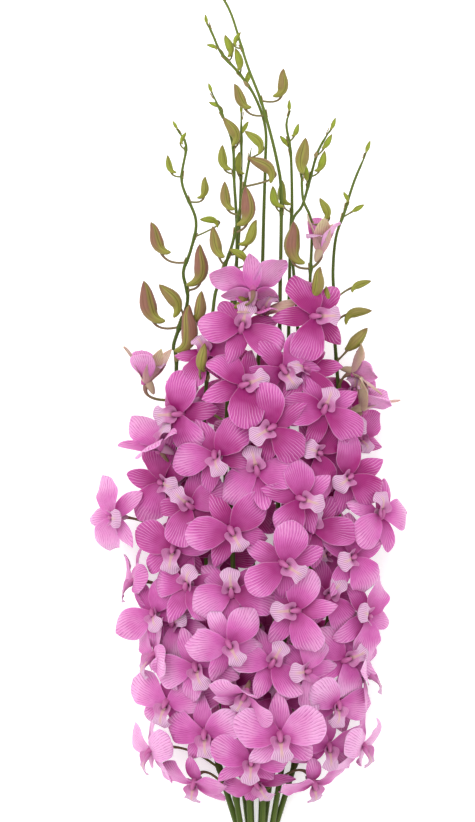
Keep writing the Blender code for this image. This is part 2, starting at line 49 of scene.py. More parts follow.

# %% [markdown]
# ## Where everything grows
#
# The blooms of the bunch were arranged one by one: each bloom was turned until it looked right from
# above. The table repeats that arrangement, because the fine blooms have to sit where the plain solids
# of the frame sit. A bloom is x, y, z, the way its lip points, how far it leans from facing straight up,
# the way it leans to, its size and how far it is open. A bud is x, y, z, its length and the way it
# points. Lengths are in millimetres and directions are degrees counter-clockwise from +X.

# %% The arrangement of the ten sprays
SPRAYS = {
    "spray_01": {
        "slot": 67.5,
        "route": [(7, 100, 48), (14, 200, 62), (15, 300, 68), (16, 400, 70), (17, 476, 68), (14, 504, 66),
                  (4, 543, 62), (-7, 573, 58), (-18, 609, 52), (-27, 626, 48)],
        "blooms": [(10, 317, 94, 205, 12, 200, 1.0, 1.0), (0, 286, 84, 105, 15, 100, 1.0, 1.0),
                   (30, 268, 90, 350, 15, 340, 0.95, 1.0), (18, 223, 93, 328, 10, 330, 1.0, 1.0),
                   (27, 190, 83, 178, 12, 180, 1.0, 1.0), (16, 103, 84, 270, 5, 270, 1.1, 1.0),
                   (4, 396, 74, 60, 62, 90, 0.85, 0.6), (10, 152, 78, 60, 14, 60, 0.95, 1.0),
                   (18, 358, 82, 300, 22, 300, 0.95, 1.0)],
        "buds": [(18, 560, 60, 18, 88), (-12, 550, 60, 18, 112), (-14, 592, 55, 9, 60),
                 (12, 478, 74, 14, 100), (-26, 628, 48, 6, 120)],
    },
    "spray_02": {
        "slot": "left",
        "route": [(-5, 100, 33), (-3, 200, 38), (-2, 300, 44), (3, 400, 52), (5, 470, 54), (6, 504, 56),
                  (6, 528, 58), (-1, 550, 53), (-12, 567, 50), (-25, 582, 48), (-31, 595, 47),
                  (-36, 606, 46)],
        "blooms": [(2, 352, 14, 250, 160, 200, 0.95, 1.0), (-4, 262, 12, 70, 164, 60, 0.95, 1.0),
                   (3, 172, 12, 280, 162, 300, 0.95, 1.0), (0, 66, 50, 300, 42, 275, 0.9, 1.0)],
        "buds": [(-36, 607, 46, 6, 100), (-32, 587, 50, 7, 165), (-20, 588, 50, 14, 112),
                 (-13, 578, 52, 14, 105), (-6, 566, 48, 9, 75)],
    },
    "spray_03": {
        "slot": 112.5,
        "route": [(-8, 100, 48), (-16, 200, 64), (-18, 300, 70), (-16, 380, 72), (-14, 448, 70),
                  (-16, 490, 68), (-17, 515, 66), (-23, 533, 64), (-32, 553, 62)],
        "blooms": [(-3, 412, 90, 268, 138, 92, 1.0, 0.65), (-11, 385, 84, 75, 24, 80, 1.0, 1.0),
                   (-10, 346, 92, 18, 14, 20, 1.0, 1.0), (-18, 246, 92, 300, 8, 300, 1.0, 1.0),
                   (-18, 202, 83, 90, 14, 90, 1.0, 1.0), (-20, 168, 90, 300, 10, 300, 0.95, 1.0),
                   (-8, 133, 84, 250, 58, 250, 0.9, 0.7), (-4, 84, 68, 270, 16, 270, 0.95, 1.0)],
        "buds": [(-24, 506, 70, 16, 96), (-18, 526, 70, 18, 125), (-30, 544, 62, 8, 160),
                 (-33, 556, 62, 6, 110), (-11, 415, 76, 24, 100)],
    },
    "spray_04": {
        "slot": 247.5,
        "route": [(-14, 100, 24), (-22, 200, 32), (-22, 300, 34), (-18, 400, 42), (-13, 448, 46),
                  (-11, 500, 50), (-11, 522, 50), (-11, 540, 50)],
        "blooms": [(-44, 332, 9, 100, 164, 170, 1.0, 1.0), (-38, 244, 12, 300, 158, 200, 0.95, 1.0),
                   (-36, 160, 13, 60, 160, 190, 0.95, 1.0), (-30, 96, 18, 250, 150, 220, 0.9, 1.0),
                   (-27, 226, 58, 250, 12, 180, 0.95, 1.0)],
        "buds": [(-13, 504, 56, 14, 85), (-15, 528, 50, 8, 130), (-8, 530, 50, 8, 60),
                 (-11, 543, 50, 6, 90)],
    },
    "spray_05": {
        "slot": 202.5,
        "route": [(-34, 100, 34), (-54, 200, 38), (-58, 300, 42), (-57, 365, 48), (-59, 375, 49),
                  (-49, 406, 52), (-52, 426, 54), (-47, 441, 55), (-43, 463, 56), (-53, 490, 55),
                  (-50, 516, 53), (-57, 528, 52)],
        "blooms": [(-78, 349, 54, 350, 80, 85, 0.95, 0.45), (-54, 326, 68, 180, 32, 180, 1.0, 1.0),
                   (-68, 302, 66, 20, 74, 122, 1.0, 0.6), (-66, 278, 56, 355, 34, 185, 1.0, 1.0),
                   (-101, 253, 50, 0, 32, 182, 0.95, 1.0), (-58, 232, 66, 270, 20, 200, 1.0, 1.0),
                   (-86, 206, 36, 220, 84, 180, 0.9, 1.0), (-71, 155, 52, 235, 72, 185, 1.0, 1.0),
                   (-63, 122, 54, 265, 28, 195, 1.0, 1.0), (-74, 86, 42, 250, 68, 195, 0.95, 1.0),
                   (-72, 186, 54, 320, 36, 190, 0.95, 1.0)],
        "buds": [(-52, 522, 53, 8, 60), (-58, 531, 52, 6, 120), (-62, 503, 54, 12, 102),
                 (-37, 486, 60, 14, 88), (-34, 463, 58, 12, 175), (-71, 451, 52, 22, 106),
                 (-40, 432, 60, 26, 92), (-77, 406, 50, 28, 102), (-61, 409, 58, 22, 132),
                 (-40, 402, 66, 20, 84), (-48, 387, 66, 30, 92)],
    },
    "spray_06": {
        "slot": 157.5,
        "route": [(-22, 100, 43), (-34, 200, 54), (-38, 300, 58), (-31, 396, 76), (-26, 419, 80),
                  (-17, 445, 84), (-9, 484, 84), (-4, 511, 84)],
        "blooms": [(-28, 298, 82, 305, 16, 200, 1.0, 1.0), (-48, 206, 74, 60, 20, 165, 1.0, 1.0),
                   (-42, 150, 74, 300, 12, 200, 1.0, 1.0), (-36, 102, 64, 280, 18, 220, 1.0, 1.0),
                   (-46, 262, 72, 140, 20, 165, 0.95, 1.0), (-34, 368, 72, 120, 40, 120, 0.85, 1.0),
                   (-58, 178, 54, 20, 30, 175, 0.95, 1.0), (-44, 64, 40, 250, 60, 240, 0.9, 1.0),
                   (-18, 134, 60, 80, 12, 200, 0.95, 1.0)],
        "buds": [(-2, 517, 86, 16, 140), (3, 499, 86, 20, 152), (-22, 478, 84, 18, 96),
                 (-7, 471, 88, 24, 92), (-4, 452, 86, 18, 72), (-13, 437, 88, 14, 150),
                 (-29, 446, 84, 20, 102), (-38, 366, 88, 18, 80)],
    },
    "spray_07": {
        "slot": 292.5,
        "route": [(14, 100, 24), (20, 200, 32), (22, 300, 34), (23, 400, 42), (24, 455, 48), (25, 476, 50),
                  (24, 511, 52), (21, 531, 52), (24, 541, 52)],
        "blooms": [(44, 332, 9, 80, 164, 10, 1.0, 1.0), (38, 250, 12, 240, 158, 340, 0.95, 1.0),
                   (36, 166, 13, 120, 160, 350, 0.95, 1.0), (30, 98, 18, 290, 150, 320, 0.9, 1.0),
                   (14, 126, 58, 110, 12, 0, 0.95, 1.0)],
        "buds": [(23, 545, 52, 7, 90), (28, 527, 54, 9, 70), (18, 483, 56, 16, 92),
                 (19, 520, 52, 8, 130)],
    },
    "spray_08": {
        "slot": "right",
        "route": [(7, 100, 36), (26, 200, 48), (33, 300, 52), (28, 400, 58), (24, 456, 61), (32, 473, 62),
                  (37, 490, 62), (43, 511, 61), (52, 527, 60)],
        "blooms": [(34, 356, 74, 185, 32, 70, 0.95, 1.0), (38, 246, 76, 100, 20, 40, 0.95, 1.0),
                   (50, 198, 62, 60, 20, 20, 0.95, 1.0),
                   (40, 64, 42, 290, 60, 300, 0.9, 1.0)],
        "buds": [(54, 531, 60, 8, 70), (50, 518, 62, 11, 60), (46, 504, 63, 14, 74),
                 (34, 497, 64, 12, 100)],
    },
    "spray_09": {
        "slot": 337.5,
        "route": [(34, 100, 34), (54, 200, 40), (60, 300, 42), (55, 385, 48), (55, 406, 50), (54, 427, 51),
                  (56, 451, 52), (62, 469, 52), (69, 491, 51), (78, 512, 50)],
        "blooms": [(64, 282, 66, 210, 26, 10, 1.0, 1.0), (75, 330, 56, 150, 80, 50, 0.95, 0.45),
                   (66, 226, 68, 195, 22, 5, 1.0, 1.0), (86, 255, 56, 120, 40, 20, 1.0, 1.0),
                   (77, 183, 54, 170, 34, 5, 1.0, 1.0), (62, 153, 58, 20, 28, 10, 0.95, 1.0),
                   (76, 140, 44, 300, 76, 10, 0.95, 1.0), (74, 90, 42, 280, 66, 345, 0.95, 1.0),
                   (68, 356, 50, 60, 84, 20, 0.85, 0.6), (60, 314, 54, 20, 30, 10, 0.95, 1.0)],
        "buds": [(79, 516, 50, 8, 70), (72, 472, 52, 9, 30), (63, 480, 54, 7, 120),
                 (74, 418, 54, 14, 20), (72, 398, 54, 18, 10), (71, 379, 58, 20, 48)],
    },
    "spray_10": {
        "slot": 22.5,
        "route": [(22, 100, 44), (36, 200, 62), (44, 300, 66), (38, 380, 72), (37, 416, 75), (38, 458, 77),
                  (32, 476, 78), (31, 497, 78)],
        "blooms": [(40, 394, 84, 3, 24, 0, 1.0, 1.0), (46, 329, 83, 75, 18, 50, 1.0, 1.0),
                   (42, 299, 75, 170, 20, 0, 1.0, 1.0), (34, 147, 76, 185, 14, 10, 1.0, 1.0),
                   (56, 122, 62, 250, 24, 340, 0.95, 1.0), (50, 92, 54, 260, 26, 320, 0.95, 1.0),
                   (44, 440, 80, 268, 80, 88, 0.9, 0.25)],
        "buds": [(32, 507, 78, 22, 80), (25, 446, 84, 26, 86), (47, 470, 80, 14, 118),
                 (42, 418, 84, 20, 84), (48, 407, 76, 16, 86)],
    },
}
print("blooms:", sum(len(spray["blooms"]) for spray in SPRAYS.values()),
      "buds:", sum(len(spray["buds"]) for spray in SPRAYS.values()))

# %% [markdown]
# The sizes of a full bloom come from real cut stems: about 58 mm across, with petals nearly as wide as
# they are long and narrower sepals behind them. These match the solids of the frame.

# %% Sizes of a full bloom and of the stalks
SEPAL_LENGTH = 26 * MM
SEPAL_WIDTH = 14 * MM
PETAL_LENGTH = 28 * MM
PETAL_WIDTH = 24 * MM
LIP_LENGTH = 17 * MM
HUB_RADIUS = 4.0 * MM
SPUR_REACH = 8.0 * MM
CLOSED_PITCH = 90
STEM_RADIUS = 2.4 * MM
STEM_TIP_RADIUS = 0.9 * MM
PEDICEL_RADIUS = 1.1 * MM
PEDICEL_DROP = 13 * MM
BUD_STALK_RADIUS = 0.75 * MM
BAND_BORE = 11.7 * MM
BAND_WALL = 1.2 * MM
BAND_LENGTH = 7 * MM
BAND_HEIGHT = 12.6 * MM
RING_OF_STEMS = 8.8 * MM
STEMS_IN_MIDDLE = 2.9 * MM
CUT_END = -46 * MM
BUD_SPUR = 0.42
LOWEST_SURFACE = 0.7 * MM


# %% [markdown]
# ## Directions
#
# A bloom needs three axes: across its face, up to its top sepal, and out toward the eye. They follow
# from where its lip points and how far it leans. A stem needs a smooth line through its few stations,
# and a Catmull-Rom curve goes through every one of them without any handles to set.

# %% Axes of a bloom and smooth lines
def heading(degrees):
    """The level direction at some degrees counter-clockwise from +X."""
    return np.array([math.cos(math.radians(degrees)), math.sin(math.radians(degrees)), 0.0])


def unit(vector):
    return vector / np.linalg.norm(vector)


def facing(lip, lean, toward):
    """The axes of a bloom: across its face, toward its top sepal, and out of its face."""
    tilt = math.radians(lean)
    out = heading(toward) * math.sin(tilt) + np.array([0.0, 0.0, math.cos(tilt)])
    down = heading(lip)
    down = unit(down - out * down.dot(out))
    return np.cross(-down, out), -down, out


def smooth_route(points, longest):
    """Points along a Catmull-Rom curve through the given ones, no further apart than the longest step."""
    ends = [points[0] * 2 - points[1], *points, points[-1] * 2 - points[-2]]
    route = []
    for a, b, c, d in zip(ends, ends[1:], ends[2:], ends[3:]):
        steps = math.ceil(np.linalg.norm(c - b) / longest)
        for t in np.arange(steps) / steps:
            route.append(0.5 * (2 * b + (c - a) * t + (2 * a - 5 * b + 4 * c - d) * t * t
                                + (3 * b - a - 3 * c + d) * t ** 3))
    return np.array(route + [points[-1]])


def bent_line(root, knee, end, count):
    """Points along a stalk that sets out from its root toward a knee and comes to its end from there."""
    t = np.linspace(0, 1, count)[:, None]
    return root * (1 - t) ** 2 + knee * 2 * t * (1 - t) + end * t * t


def distances_along(line):
    """How far along a line each of its points is."""
    return np.concatenate([[0], np.cumsum(np.linalg.norm(np.diff(line, axis=0), axis=1))])


def ease(value, low, high):
    """0 below the low value, 1 above the high one, and a soft step between them."""
    share = np.clip((value - low) / (high - low), 0, 1)
    return share * share * (3 - 2 * share)


# %% [markdown]
# ## One skin for every living part
#
# Petals, buds and stalks are all closed skins, drawn as rings of points one after another. A petal's
# ring is a thin lens, a stalk's ring is round. Subdividing a box would also work, but a loft puts each
# row of points exactly along the growth, which is where the veins run. Two texture maps travel with the
# points: "veins" counts the veins across and the length along, and "finish" holds a tone and how near
# the rim a point is.

# %% A piece made of lofted skins
SHARP_EDGE = 62


class Skin:
    """Collects lofts, then makes one object of them."""

    def __init__(self):
        self.points = []
        self.faces = []
        self.veins = []
        self.finish = []
        self.slots = []
        self.count = 0

    def loft(self, rings, veins, finish, slot):
        """rings is sections x corners x 3; the two maps have one more corner, where the ring closes."""
        sections, corners, _ = rings.shape
        index = self.count + np.arange(sections * corners).reshape(sections, corners)
        index = np.hstack([index, index[:, :1]])
        quads = [index[:-1, :-1], index[1:, :-1], index[1:, 1:], index[:-1, 1:]]
        self.faces += np.stack(quads, -1).reshape(-1, 4).tolist()
        for mapped, store in ((veins, self.veins), (finish, self.finish)):
            corner_values = [mapped[:-1, :-1], mapped[1:, :-1], mapped[1:, 1:], mapped[:-1, 1:]]
            store.append(np.stack(corner_values, 2).reshape(-1, 2))
            store.append(mapped[0, :-1])
            store.append(mapped[-1, :-1][::-1])
        self.faces += [index[0, :-1].tolist(), index[-1, :-1][::-1].tolist()]
        self.points.append(rings.reshape(-1, 3))
        self.slots += [slot] * ((sections - 1) * corners + 2)
        self.count += sections * corners

    def make(self, name, materials):
        mesh = bpy.data.meshes.new(name)
        mesh.from_pydata(np.concatenate(self.points).tolist(), [], self.faces)
        for title, store in (("veins", self.veins), ("finish", self.finish)):
            layer = mesh.uv_layers.new(name=title)
            layer.data.foreach_set("uv", np.concatenate(store).ravel())
        for finish in materials:
            mesh.materials.append(finish)
        mesh.polygons.foreach_set("material_index", self.slots)
        mesh.shade_smooth()
        mesh.set_sharp_from_angle(angle=math.radians(SHARP_EDGE))
        made = bpy.data.objects.new(name, mesh)
        bpy.context.scene.collection.objects.link(made)
        return made


# %% [markdown]
# ## Tubes
#
# Stems, pedicels, buds, spurs and columns are round skins along a line. Each has a radius at every
# point of its line. The ring's first corner stays on one side, so streaks don't twist round it.

# %% Round skins
def ring_frames(line, first=None):
    """Two directions across a line at each of its points, turned as little as possible."""
    ways = np.gradient(line, axis=0)
    ways /= np.linalg.norm(ways, axis=1)[:, None]
    if first is None:
        first = np.array([0.0, 0.0, 1.0]) if abs(ways[0][2]) < 0.9 else np.array([1.0, 0.0, 0.0])
    sides = []
    for way in ways:
        first = unit(first - way * first.dot(way))
        sides.append(first)
    sides = np.array(sides)
    return sides, np.cross(sides, ways)


def tube(skin, line, radii, corners, slot, tones=0.5, along=None, first=None, groove=1.0, slant=0.0):
    """A round skin along a line. groove scales each corner, and slant tilts the cut at the line's start."""
    sides, others = ring_frames(line, first)
    turn = np.linspace(0, math.tau, corners + 1)
    around = sides[:, None] * np.cos(turn)[None, :, None] + others[:, None] * np.sin(turn)[None, :, None]
    reach = np.broadcast_to(radii, len(line))[:, None] * groove
    rings = line[:, None] + around * reach[..., None]
    rings[0, :, 1] += slant * (rings[0, :, 2] - line[0][2])
    if along is None:
        along = np.linspace(0, 1, len(line))
    veins = np.stack(np.broadcast_arrays((turn / math.tau)[None], along[:, None]), -1)
    tones = np.broadcast_to(tones, len(line))[:, None]
    finish = np.stack(np.broadcast_arrays(tones, np.zeros((len(line), corners + 1))), -1)
    skin.loft(rings[:, :-1], veins, finish, slot)


# %% [markdown]
# ## The blade: sepals, petals and bracts
#
# A tepal leaves the middle of the bloom at some pitch and bends back along an arc. Its outline rises
# to its widest place by one power and falls to its tip by another: a high first one moves the widest
# place out, and a low second one makes the tip blunt. Real petals are never flat: the rims wave, the
# middle is channelled near the base, and each one twists a little. All of that is drawn by formula,
# with seeded chance, so no two petals are alike and every run gives the same bunch.

# %% The outline and the surface of a blade
SEPAL_OUTLINE = (0.62, 0.7)
PETAL_OUTLINE = (0.85, 0.5)
BLADE_ROWS = 20
BLADE_COLUMNS = 14
TISSUE = 0.7 * MM
RIM_THINNING = 0.96
FLAT_CURL = 0.01


def width_at(t, outline):
    """The width of a blade as a share of its widest, from its base at 0 to its tip at 1."""
    peak, blunt = outline
    t = 0.05 + 0.95 * t
    best = peak / (peak + blunt)
    return t ** peak * (1 - t) ** blunt / (best ** peak * (1 - best) ** blunt)


def rim_to_rim(columns):
    """Places across a sheet, from -1 at one rim to 1 at the other, and closer together near both."""
    return np.sin(np.linspace(-math.pi / 2, math.pi / 2, columns + 1))


def lens_rings(middle, across, normal, reach, curl, lift, tissue):
    """Closed sections of a thin sheet: its front from one rim to the other, and its back again.

    reach is half a section's width, curl bends the section into an arc, with its rims back where it is
    above 0, and lift raises each point of the grid along the normal.
    """
    s = rim_to_rim(reach.shape[1] - 1)
    curl = np.where(np.abs(curl) < FLAT_CURL, FLAT_CURL, curl)[:, None]
    sine, cosine = np.sin(curl * s), np.cos(curl * s)
    aside = reach * sine / curl
    height = -reach * (1 - cosine) / curl + lift
    sheet = middle[:, None] + across[:, None] * aside[..., None] + normal[:, None] * height[..., None]
    deep = LOWEST_SURFACE - sheet[..., 2]
    sheet[..., 2] += np.where(deep > 0, deep, 0)
    half = tissue[:, None] / 2 * np.sqrt(1 - RIM_THINNING * s * s)
    front_way = normal[:, None] * cosine[..., None] + across[:, None] * sine[..., None]
    front = sheet + front_way * half[..., None]
    back = sheet - front_way * half[..., None]
    front[:, 0], front[:, -1] = sheet[:, 0], sheet[:, -1]
    return np.concatenate([front, back[:, -2:0:-1]], axis=1)


def sheet_maps(s, along, spread, veins, tones, back_tone, rim_from):
    """The two texture maps of a thin sheet, closed round each section.

    spread is the share of the veins that a section has: they fan out, and run off at the rims.
    """
    ring_s = np.concatenate([s, s[-2:0:-1], s[:1]])
    is_back = np.zeros(len(ring_s))
    is_back[len(s):-1] = 1
    vein_map = np.stack(np.broadcast_arrays(ring_s[None] * spread[:, None] * veins / 2, along[:, None]), -1)
    rim = np.maximum(np.abs(ring_s)[None], ease(along, rim_from, 1.0)[:, None])
    tone = tones + (back_tone - tones) * is_back
    return vein_map, np.stack(np.broadcast_arrays(tone[None], rim), -1)


def blade(skin, axes, base, length, width, outline, pitch, bend, temper, tone, back_tone, veins, slot):
    """One tepal, from its base, with the ripple, twist, sweep and folds that its temper holds."""
    along, beside, out = axes
    q = np.linspace(0, 1, BLADE_ROWS + 1)
    t = np.minimum(1 - (1 - q) ** 1.7, 0.9985)
    start, turn = math.radians(pitch), math.radians(bend)
    angle = start + turn * t + temper["nod"] * ease(t, 0.5, 1.0)
    step = np.diff(t, prepend=0) * length
    between = (angle + np.concatenate([[start], angle[:-1]])) / 2
    middle = (base + np.cumsum(np.cos(between) * step)[:, None] * along
              + np.cumsum(np.sin(between) * step)[:, None] * out
              + (temper["sweep"] * length * t * t)[:, None] * beside)
    normal = np.cos(angle)[:, None] * out - np.sin(angle)[:, None] * along
    roll = (temper["twist"] * t)[:, None]
    across = beside * np.cos(roll) + normal * np.sin(roll)
    normal = normal * np.cos(roll) - beside * np.sin(roll)
    s = rim_to_rim(BLADE_COLUMNS)
    rows = t[:, None]
    share = width_at(t, outline)
    reach = (width / 2 * share)[:, None] * (1 + temper["skew"] * s)
    nicks = np.sin(math.tau * (temper["waves"] * 2.3 * rows + temper["phase"]))
    reach = reach * (1 + temper["scallop"] * nicks)
    wave = np.sin(math.tau * (temper["waves"] * rows + temper["phase"] + 0.21 * np.sign(s)))
    lift = temper["ripple"] * width * np.abs(s) ** 2.6 * wave * ease(rows, 0.1, 0.6)
    swell = np.sin(math.tau * (0.8 * rows + 0.35 * s + temper["phase"] * 1.7))
    lift = lift + temper["buckle"] * width * swell * ease(rows, 0.15, 0.6)
    lift = lift - temper["keel"] * width * np.exp(-(s / 0.16) ** 2) * (1 - rows) ** 0.5
    curl = temper["fold"] * (1 - ease(t, 0.0, 0.45)) + temper["roll"] * ease(t, 0.2, 1.0)
    tissue = TISSUE * (1 + 0.9 * np.exp(-t / 0.08))
    rings = lens_rings(middle, across, normal, reach, curl, lift, tissue)
    fan = share / (t + 0.12) ** 0.75
    skin.loft(rings, *sheet_maps(s, t, fan / np.interp(0.6, t, fan), veins, tone, back_tone, 0.93), slot)


# %% [markdown]
# The temper of a blade is a handful of seeded draws, each between two limits. A petal is broad and waves
# at its rim, a sepal is stiffer and plainer. Most blades roll their rims back, and a few roll them
# forward, so the roll is picked from a short list first.

# %% Small differences between blades
PETAL_LIMITS = {"nod": (-0.75, 0.25), "sweep": (-0.07, 0.07), "twist": (-0.42, 0.42), "waves": (1.0, 1.9),
                "phase": (0.0, 1.0), "ripple": (0.02, 0.06), "buckle": (0.01, 0.035), "keel": (0.0, 0.02),
                "scallop": (0.0, 0.025), "skew": (-0.1, 0.1), "fold": (-0.9, -0.5)}
SEPAL_LIMITS = {"nod": (-0.7, 0.2), "sweep": (-0.09, 0.09), "twist": (-0.35, 0.35), "waves": (0.8, 1.3),
                "phase": (0.0, 1.0), "ripple": (0.01, 0.04), "buckle": (0.0, 0.03), "keel": (0.0, 0.025),
                "scallop": (0.0, 0.015), "skew": (-0.08, 0.08), "fold": (-0.8, -0.4)}
PETAL_ROLLS = (0.2, 0.5, 0.7, 0.9, -0.4)
SEPAL_ROLLS = (0.3, 0.6, 0.9, -0.3)


def blade_temper(limits, rolls, draw):
    temper = {kind: draw.uniform(low, high) for kind, (low, high) in limits.items()}
    temper["roll"] = draw.choice(rolls) + draw.uniform(-0.2, 0.3)
    return temper


# %% [markdown]
# ## The lip
#
# The third petal of an orchid is its lip. Here it has three lobes: two side lobes stand up round the
# column as a tube, and the middle lobe spreads and bends down in front of it. One sheet makes all
# three: it is wide and strongly curled where the side lobes are, narrow at the waist, and wide and
# nearly flat in the middle lobe. A raised pad, the callus, runs down its middle.

# %% The lip as one curled sheet
LIP_ROWS = 30
LIP_COLUMNS = 16
LIP_VEINS = 11
LIP_PLACES = (0.0, 0.08, 0.17, 0.26, 0.35, 0.43, 0.5, 0.58, 0.67, 0.77, 0.87, 0.94, 1.0)
LIP_HALF_WIDTHS = (2.8, 6.6, 8.8, 8.9, 7.6, 5.9, 5.0, 5.7, 6.9, 7.3, 6.4, 4.7, 1.0)
LIP_CURLS = (-1.8, -1.6, -1.45, -1.3, -1.15, -0.95, -0.65, -0.3, 0.0, 0.25, 0.4, 0.5, 0.5)


def lip(skin, axes, base, size, temper, slot):
    """The lip of one bloom: its base is below the column, and its inner side faces the column."""
    along, beside, out = axes
    q = np.linspace(0, 1, LIP_ROWS + 1)
    t = np.minimum(1 - (1 - q) ** 1.25, 0.998)
    angle = np.radians(62 - 34 * t - temper["drop"] * ease(t, 0.42, 0.95) + temper["nod"])
    step = np.diff(t, prepend=0) * LIP_LENGTH * 1.12 * size
    middle = (base + np.cumsum(np.cos(angle) * step)[:, None] * along
              + np.cumsum(np.sin(angle) * step)[:, None] * out)
    normal = np.cos(angle)[:, None] * out - np.sin(angle)[:, None] * along
    across = np.broadcast_to(beside, normal.shape)
    half_width = np.interp(t, LIP_PLACES, LIP_HALF_WIDTHS)
    curl = np.interp(t, LIP_PLACES, LIP_CURLS) * temper["tube"]
    s = rim_to_rim(LIP_COLUMNS)
    rows = t[:, None]
    notch = 1 - 0.16 * np.exp(-(s / 0.3) ** 2) * ease(rows, 0.8, 1.0)
    wave = np.sin(math.tau * (temper["waves"] * rows * 2.2 + temper["phase"] + 0.3 * np.sign(s)))
    lift = 1.2 * MM * size * np.abs(s) ** 3 * wave * ease(rows, 0.5, 0.75)
    callus = ease(rows, 0.12, 0.3) - ease(rows, 0.6, 0.8)
    ridges = np.exp(-(s / 0.09) ** 2) + np.exp(-((np.abs(s) - 0.24) / 0.08) ** 2)
    lift = lift + 0.7 * MM * size * callus * ridges
    reach = half_width[:, None] * MM * size * notch
    rings = lens_rings(middle, across, normal, reach, curl, lift, np.full(len(t), TISSUE))
    spread = np.where(t > 0.75, (half_width / max(half_width[t > 0.5])) ** 0.7, 1.0)
    skin.loft(rings, *sheet_maps(s, t, spread, LIP_VEINS, 0.0, 1.0, 0.95), slot)


# %% [markdown]
# ## The middle of a bloom, and its stalk
#
# The column is the fused stamen and style: a short hooded finger over the tube of the lip, mauve-pink
# like the petals, with a small cream-pink cap tucked under its end. Behind it the lateral sepals join
# in a blunt spur. The stalk bends over from the stem to the back of the bloom and thickens into the seed
# pod just behind it.

# %% Column, spur and pedicel
def column(skin, centre, up, out, size, slot, cap_slot):
    """The hooded finger in the middle of the bloom, and the small cap tucked under its end."""
    reaches = np.array([-2.4, -0.6, 1.4, 3.2, 4.6, 5.6, 6.2, 6.3])
    heights = np.array([1.9, 2.0, 1.8, 1.1, 0.0, -1.2, -2.3, -3.0])
    radii = np.array([1.8, 2.3, 2.3, 2.1, 1.9, 1.6, 1.1, 0.3]) * MM * size
    line = centre + (out * reaches[:, None] + up * heights[:, None]) * MM * size
    tube(skin, line, radii, 14, slot, tones=np.linspace(0.2, 1.0, len(line)))
    cap_places = np.array([0.0, 0.4, 1.0, 1.6, 2.0])
    cap_radii = np.array([0.2, 0.85, 1.05, 0.8, 0.2]) * MM * size
    cap = centre + (out * (4.3 + 0.3 * cap_places[:, None]) - up * (1.9 + cap_places[:, None])) * MM * size
    tube(skin, cap, cap_radii, 10, cap_slot)


def spur(skin, centre, up, out, size, tone, slot):
    """The blunt chin behind the lip, where the lateral sepals join."""
    way = unit(-up * 0.6 - out * 0.8)
    root = centre - (up * 1.4 + out * 0.6) * MM * size
    steps = np.array([0.0, 0.2, 0.42, 0.62, 0.8, 0.93, 1.0])
    reach = (SPUR_REACH + 2.6 * MM) * size
    bow = up * 1.6 * MM * size
    line = root + way * reach * steps[:, None] + bow * (steps ** 2)[:, None]
    radii = np.array([3.3, 3.2, 2.8, 2.3, 1.75, 1.1, 0.25]) * MM * size
    tube(skin, line, radii, 14, slot, tones=tone)


def pedicel(skin, root, end, out, size, slot):
    """The stalk of a bloom: it leaves the stem, bends over and swells behind the bloom."""
    knee = end - out * np.linalg.norm(end - root) * 0.42
    line = np.vstack([bent_line(root, knee, end, 15), end + out * 2.2 * MM * size])
    share = np.linspace(0, 1, len(line))
    radii = PEDICEL_RADIUS * (0.85 + 0.75 * ease(share, 0.55, 0.95))
    tube(skin, line, radii, 8, slot, tones=share)


# %% [markdown]
# ## Buds
#
# A closed bud is three sepals folded over each other. It is shaped like a boot: fattest low down in its
# leg, with three seams that run to its tip, and a blunt spur for a foot, which looks back to the stem.
# Its stalk arrives at the heel.

# %% A bud on its stalk
BUD_PLACES = (0.0, 0.06, 0.16, 0.28, 0.38, 0.48, 0.58, 0.7, 0.82, 0.91, 0.97, 1.0)
BUD_RADII = (0.03, 0.066, 0.1, 0.14, 0.185, 0.208, 0.203, 0.176, 0.132, 0.086, 0.047, 0.012)
BUD_SEAMS = 3
SEAM_DEPTH = 0.07
BUD_CORNERS = 20
# the lengths in millimetres up to which a bud is green, and from which it is mauve
YOUNG_BUD = 11
GROWN_BUD = 25


def bud(skin, centre, length, points, root, draw, slot, stalk_slot):
    """A bud of some length round its centre, with its stalk from the stem."""
    long = unit(heading(points) + np.array([0.0, 0.0, 0.12]))
    back = unit(root - centre) + np.array([0.0, 0.0, 0.35])
    hook = unit(back - long * back.dot(long))
    base = centre - long * length * 0.5
    foot = BUD_SPUR * draw.uniform(0.8, 1.05) * length
    leans = draw.uniform(-0.05, 0.05) * length
    toe = base + hook * foot - long * foot * 0.15
    bends = [toe, base + hook * foot * 0.45, base + hook * length * 0.02 + long * length * 0.16,
             centre - long * length * 0.06 - hook * length * 0.03, centre + long * length * 0.28,
             centre + long * length * 0.53 + hook * leans]
    line = smooth_route(bends, length * 0.09)
    steps = distances_along(line)
    steps = steps / steps[-1]
    turn = np.linspace(0, math.tau, BUD_CORNERS + 1)
    groove = 1 - SEAM_DEPTH * np.abs(np.cos(turn * BUD_SEAMS / 2)) ** 14
    radii = np.interp(steps, BUD_PLACES, BUD_RADII) * length * draw.uniform(0.94, 1.08)
    grown = (length / MM - YOUNG_BUD) / (GROWN_BUD - YOUNG_BUD)
    tone = min(max(grown + draw.uniform(-0.2, 0.2), 0), 1)
    tube(skin, line, radii, BUD_CORNERS, slot, tones=tone, along=steps, first=np.cross(long, hook),
         groove=groove)
    heel = base + long * length * 0.1
    knee = heel - long * np.linalg.norm(heel - root) * 0.55
    share = np.linspace(0, 1, 12)
    radii = BUD_STALK_RADIUS * (1 + 0.4 * ease(share, 0.5, 1)) * (0.8 + 0.3 * tone)
    tube(skin, bent_line(root, knee, heel, len(share)), radii, 8, stalk_slot,
         tones=share * 0.25 + 0.5 * tone)


# %% [markdown]
# ## Stems
#
# The main stem tapers from its cut end to its tip, with a small swelling and a papery bract where each
# stalk leaves it. It is cut at a slant, as a florist does, so the pale pith shows.

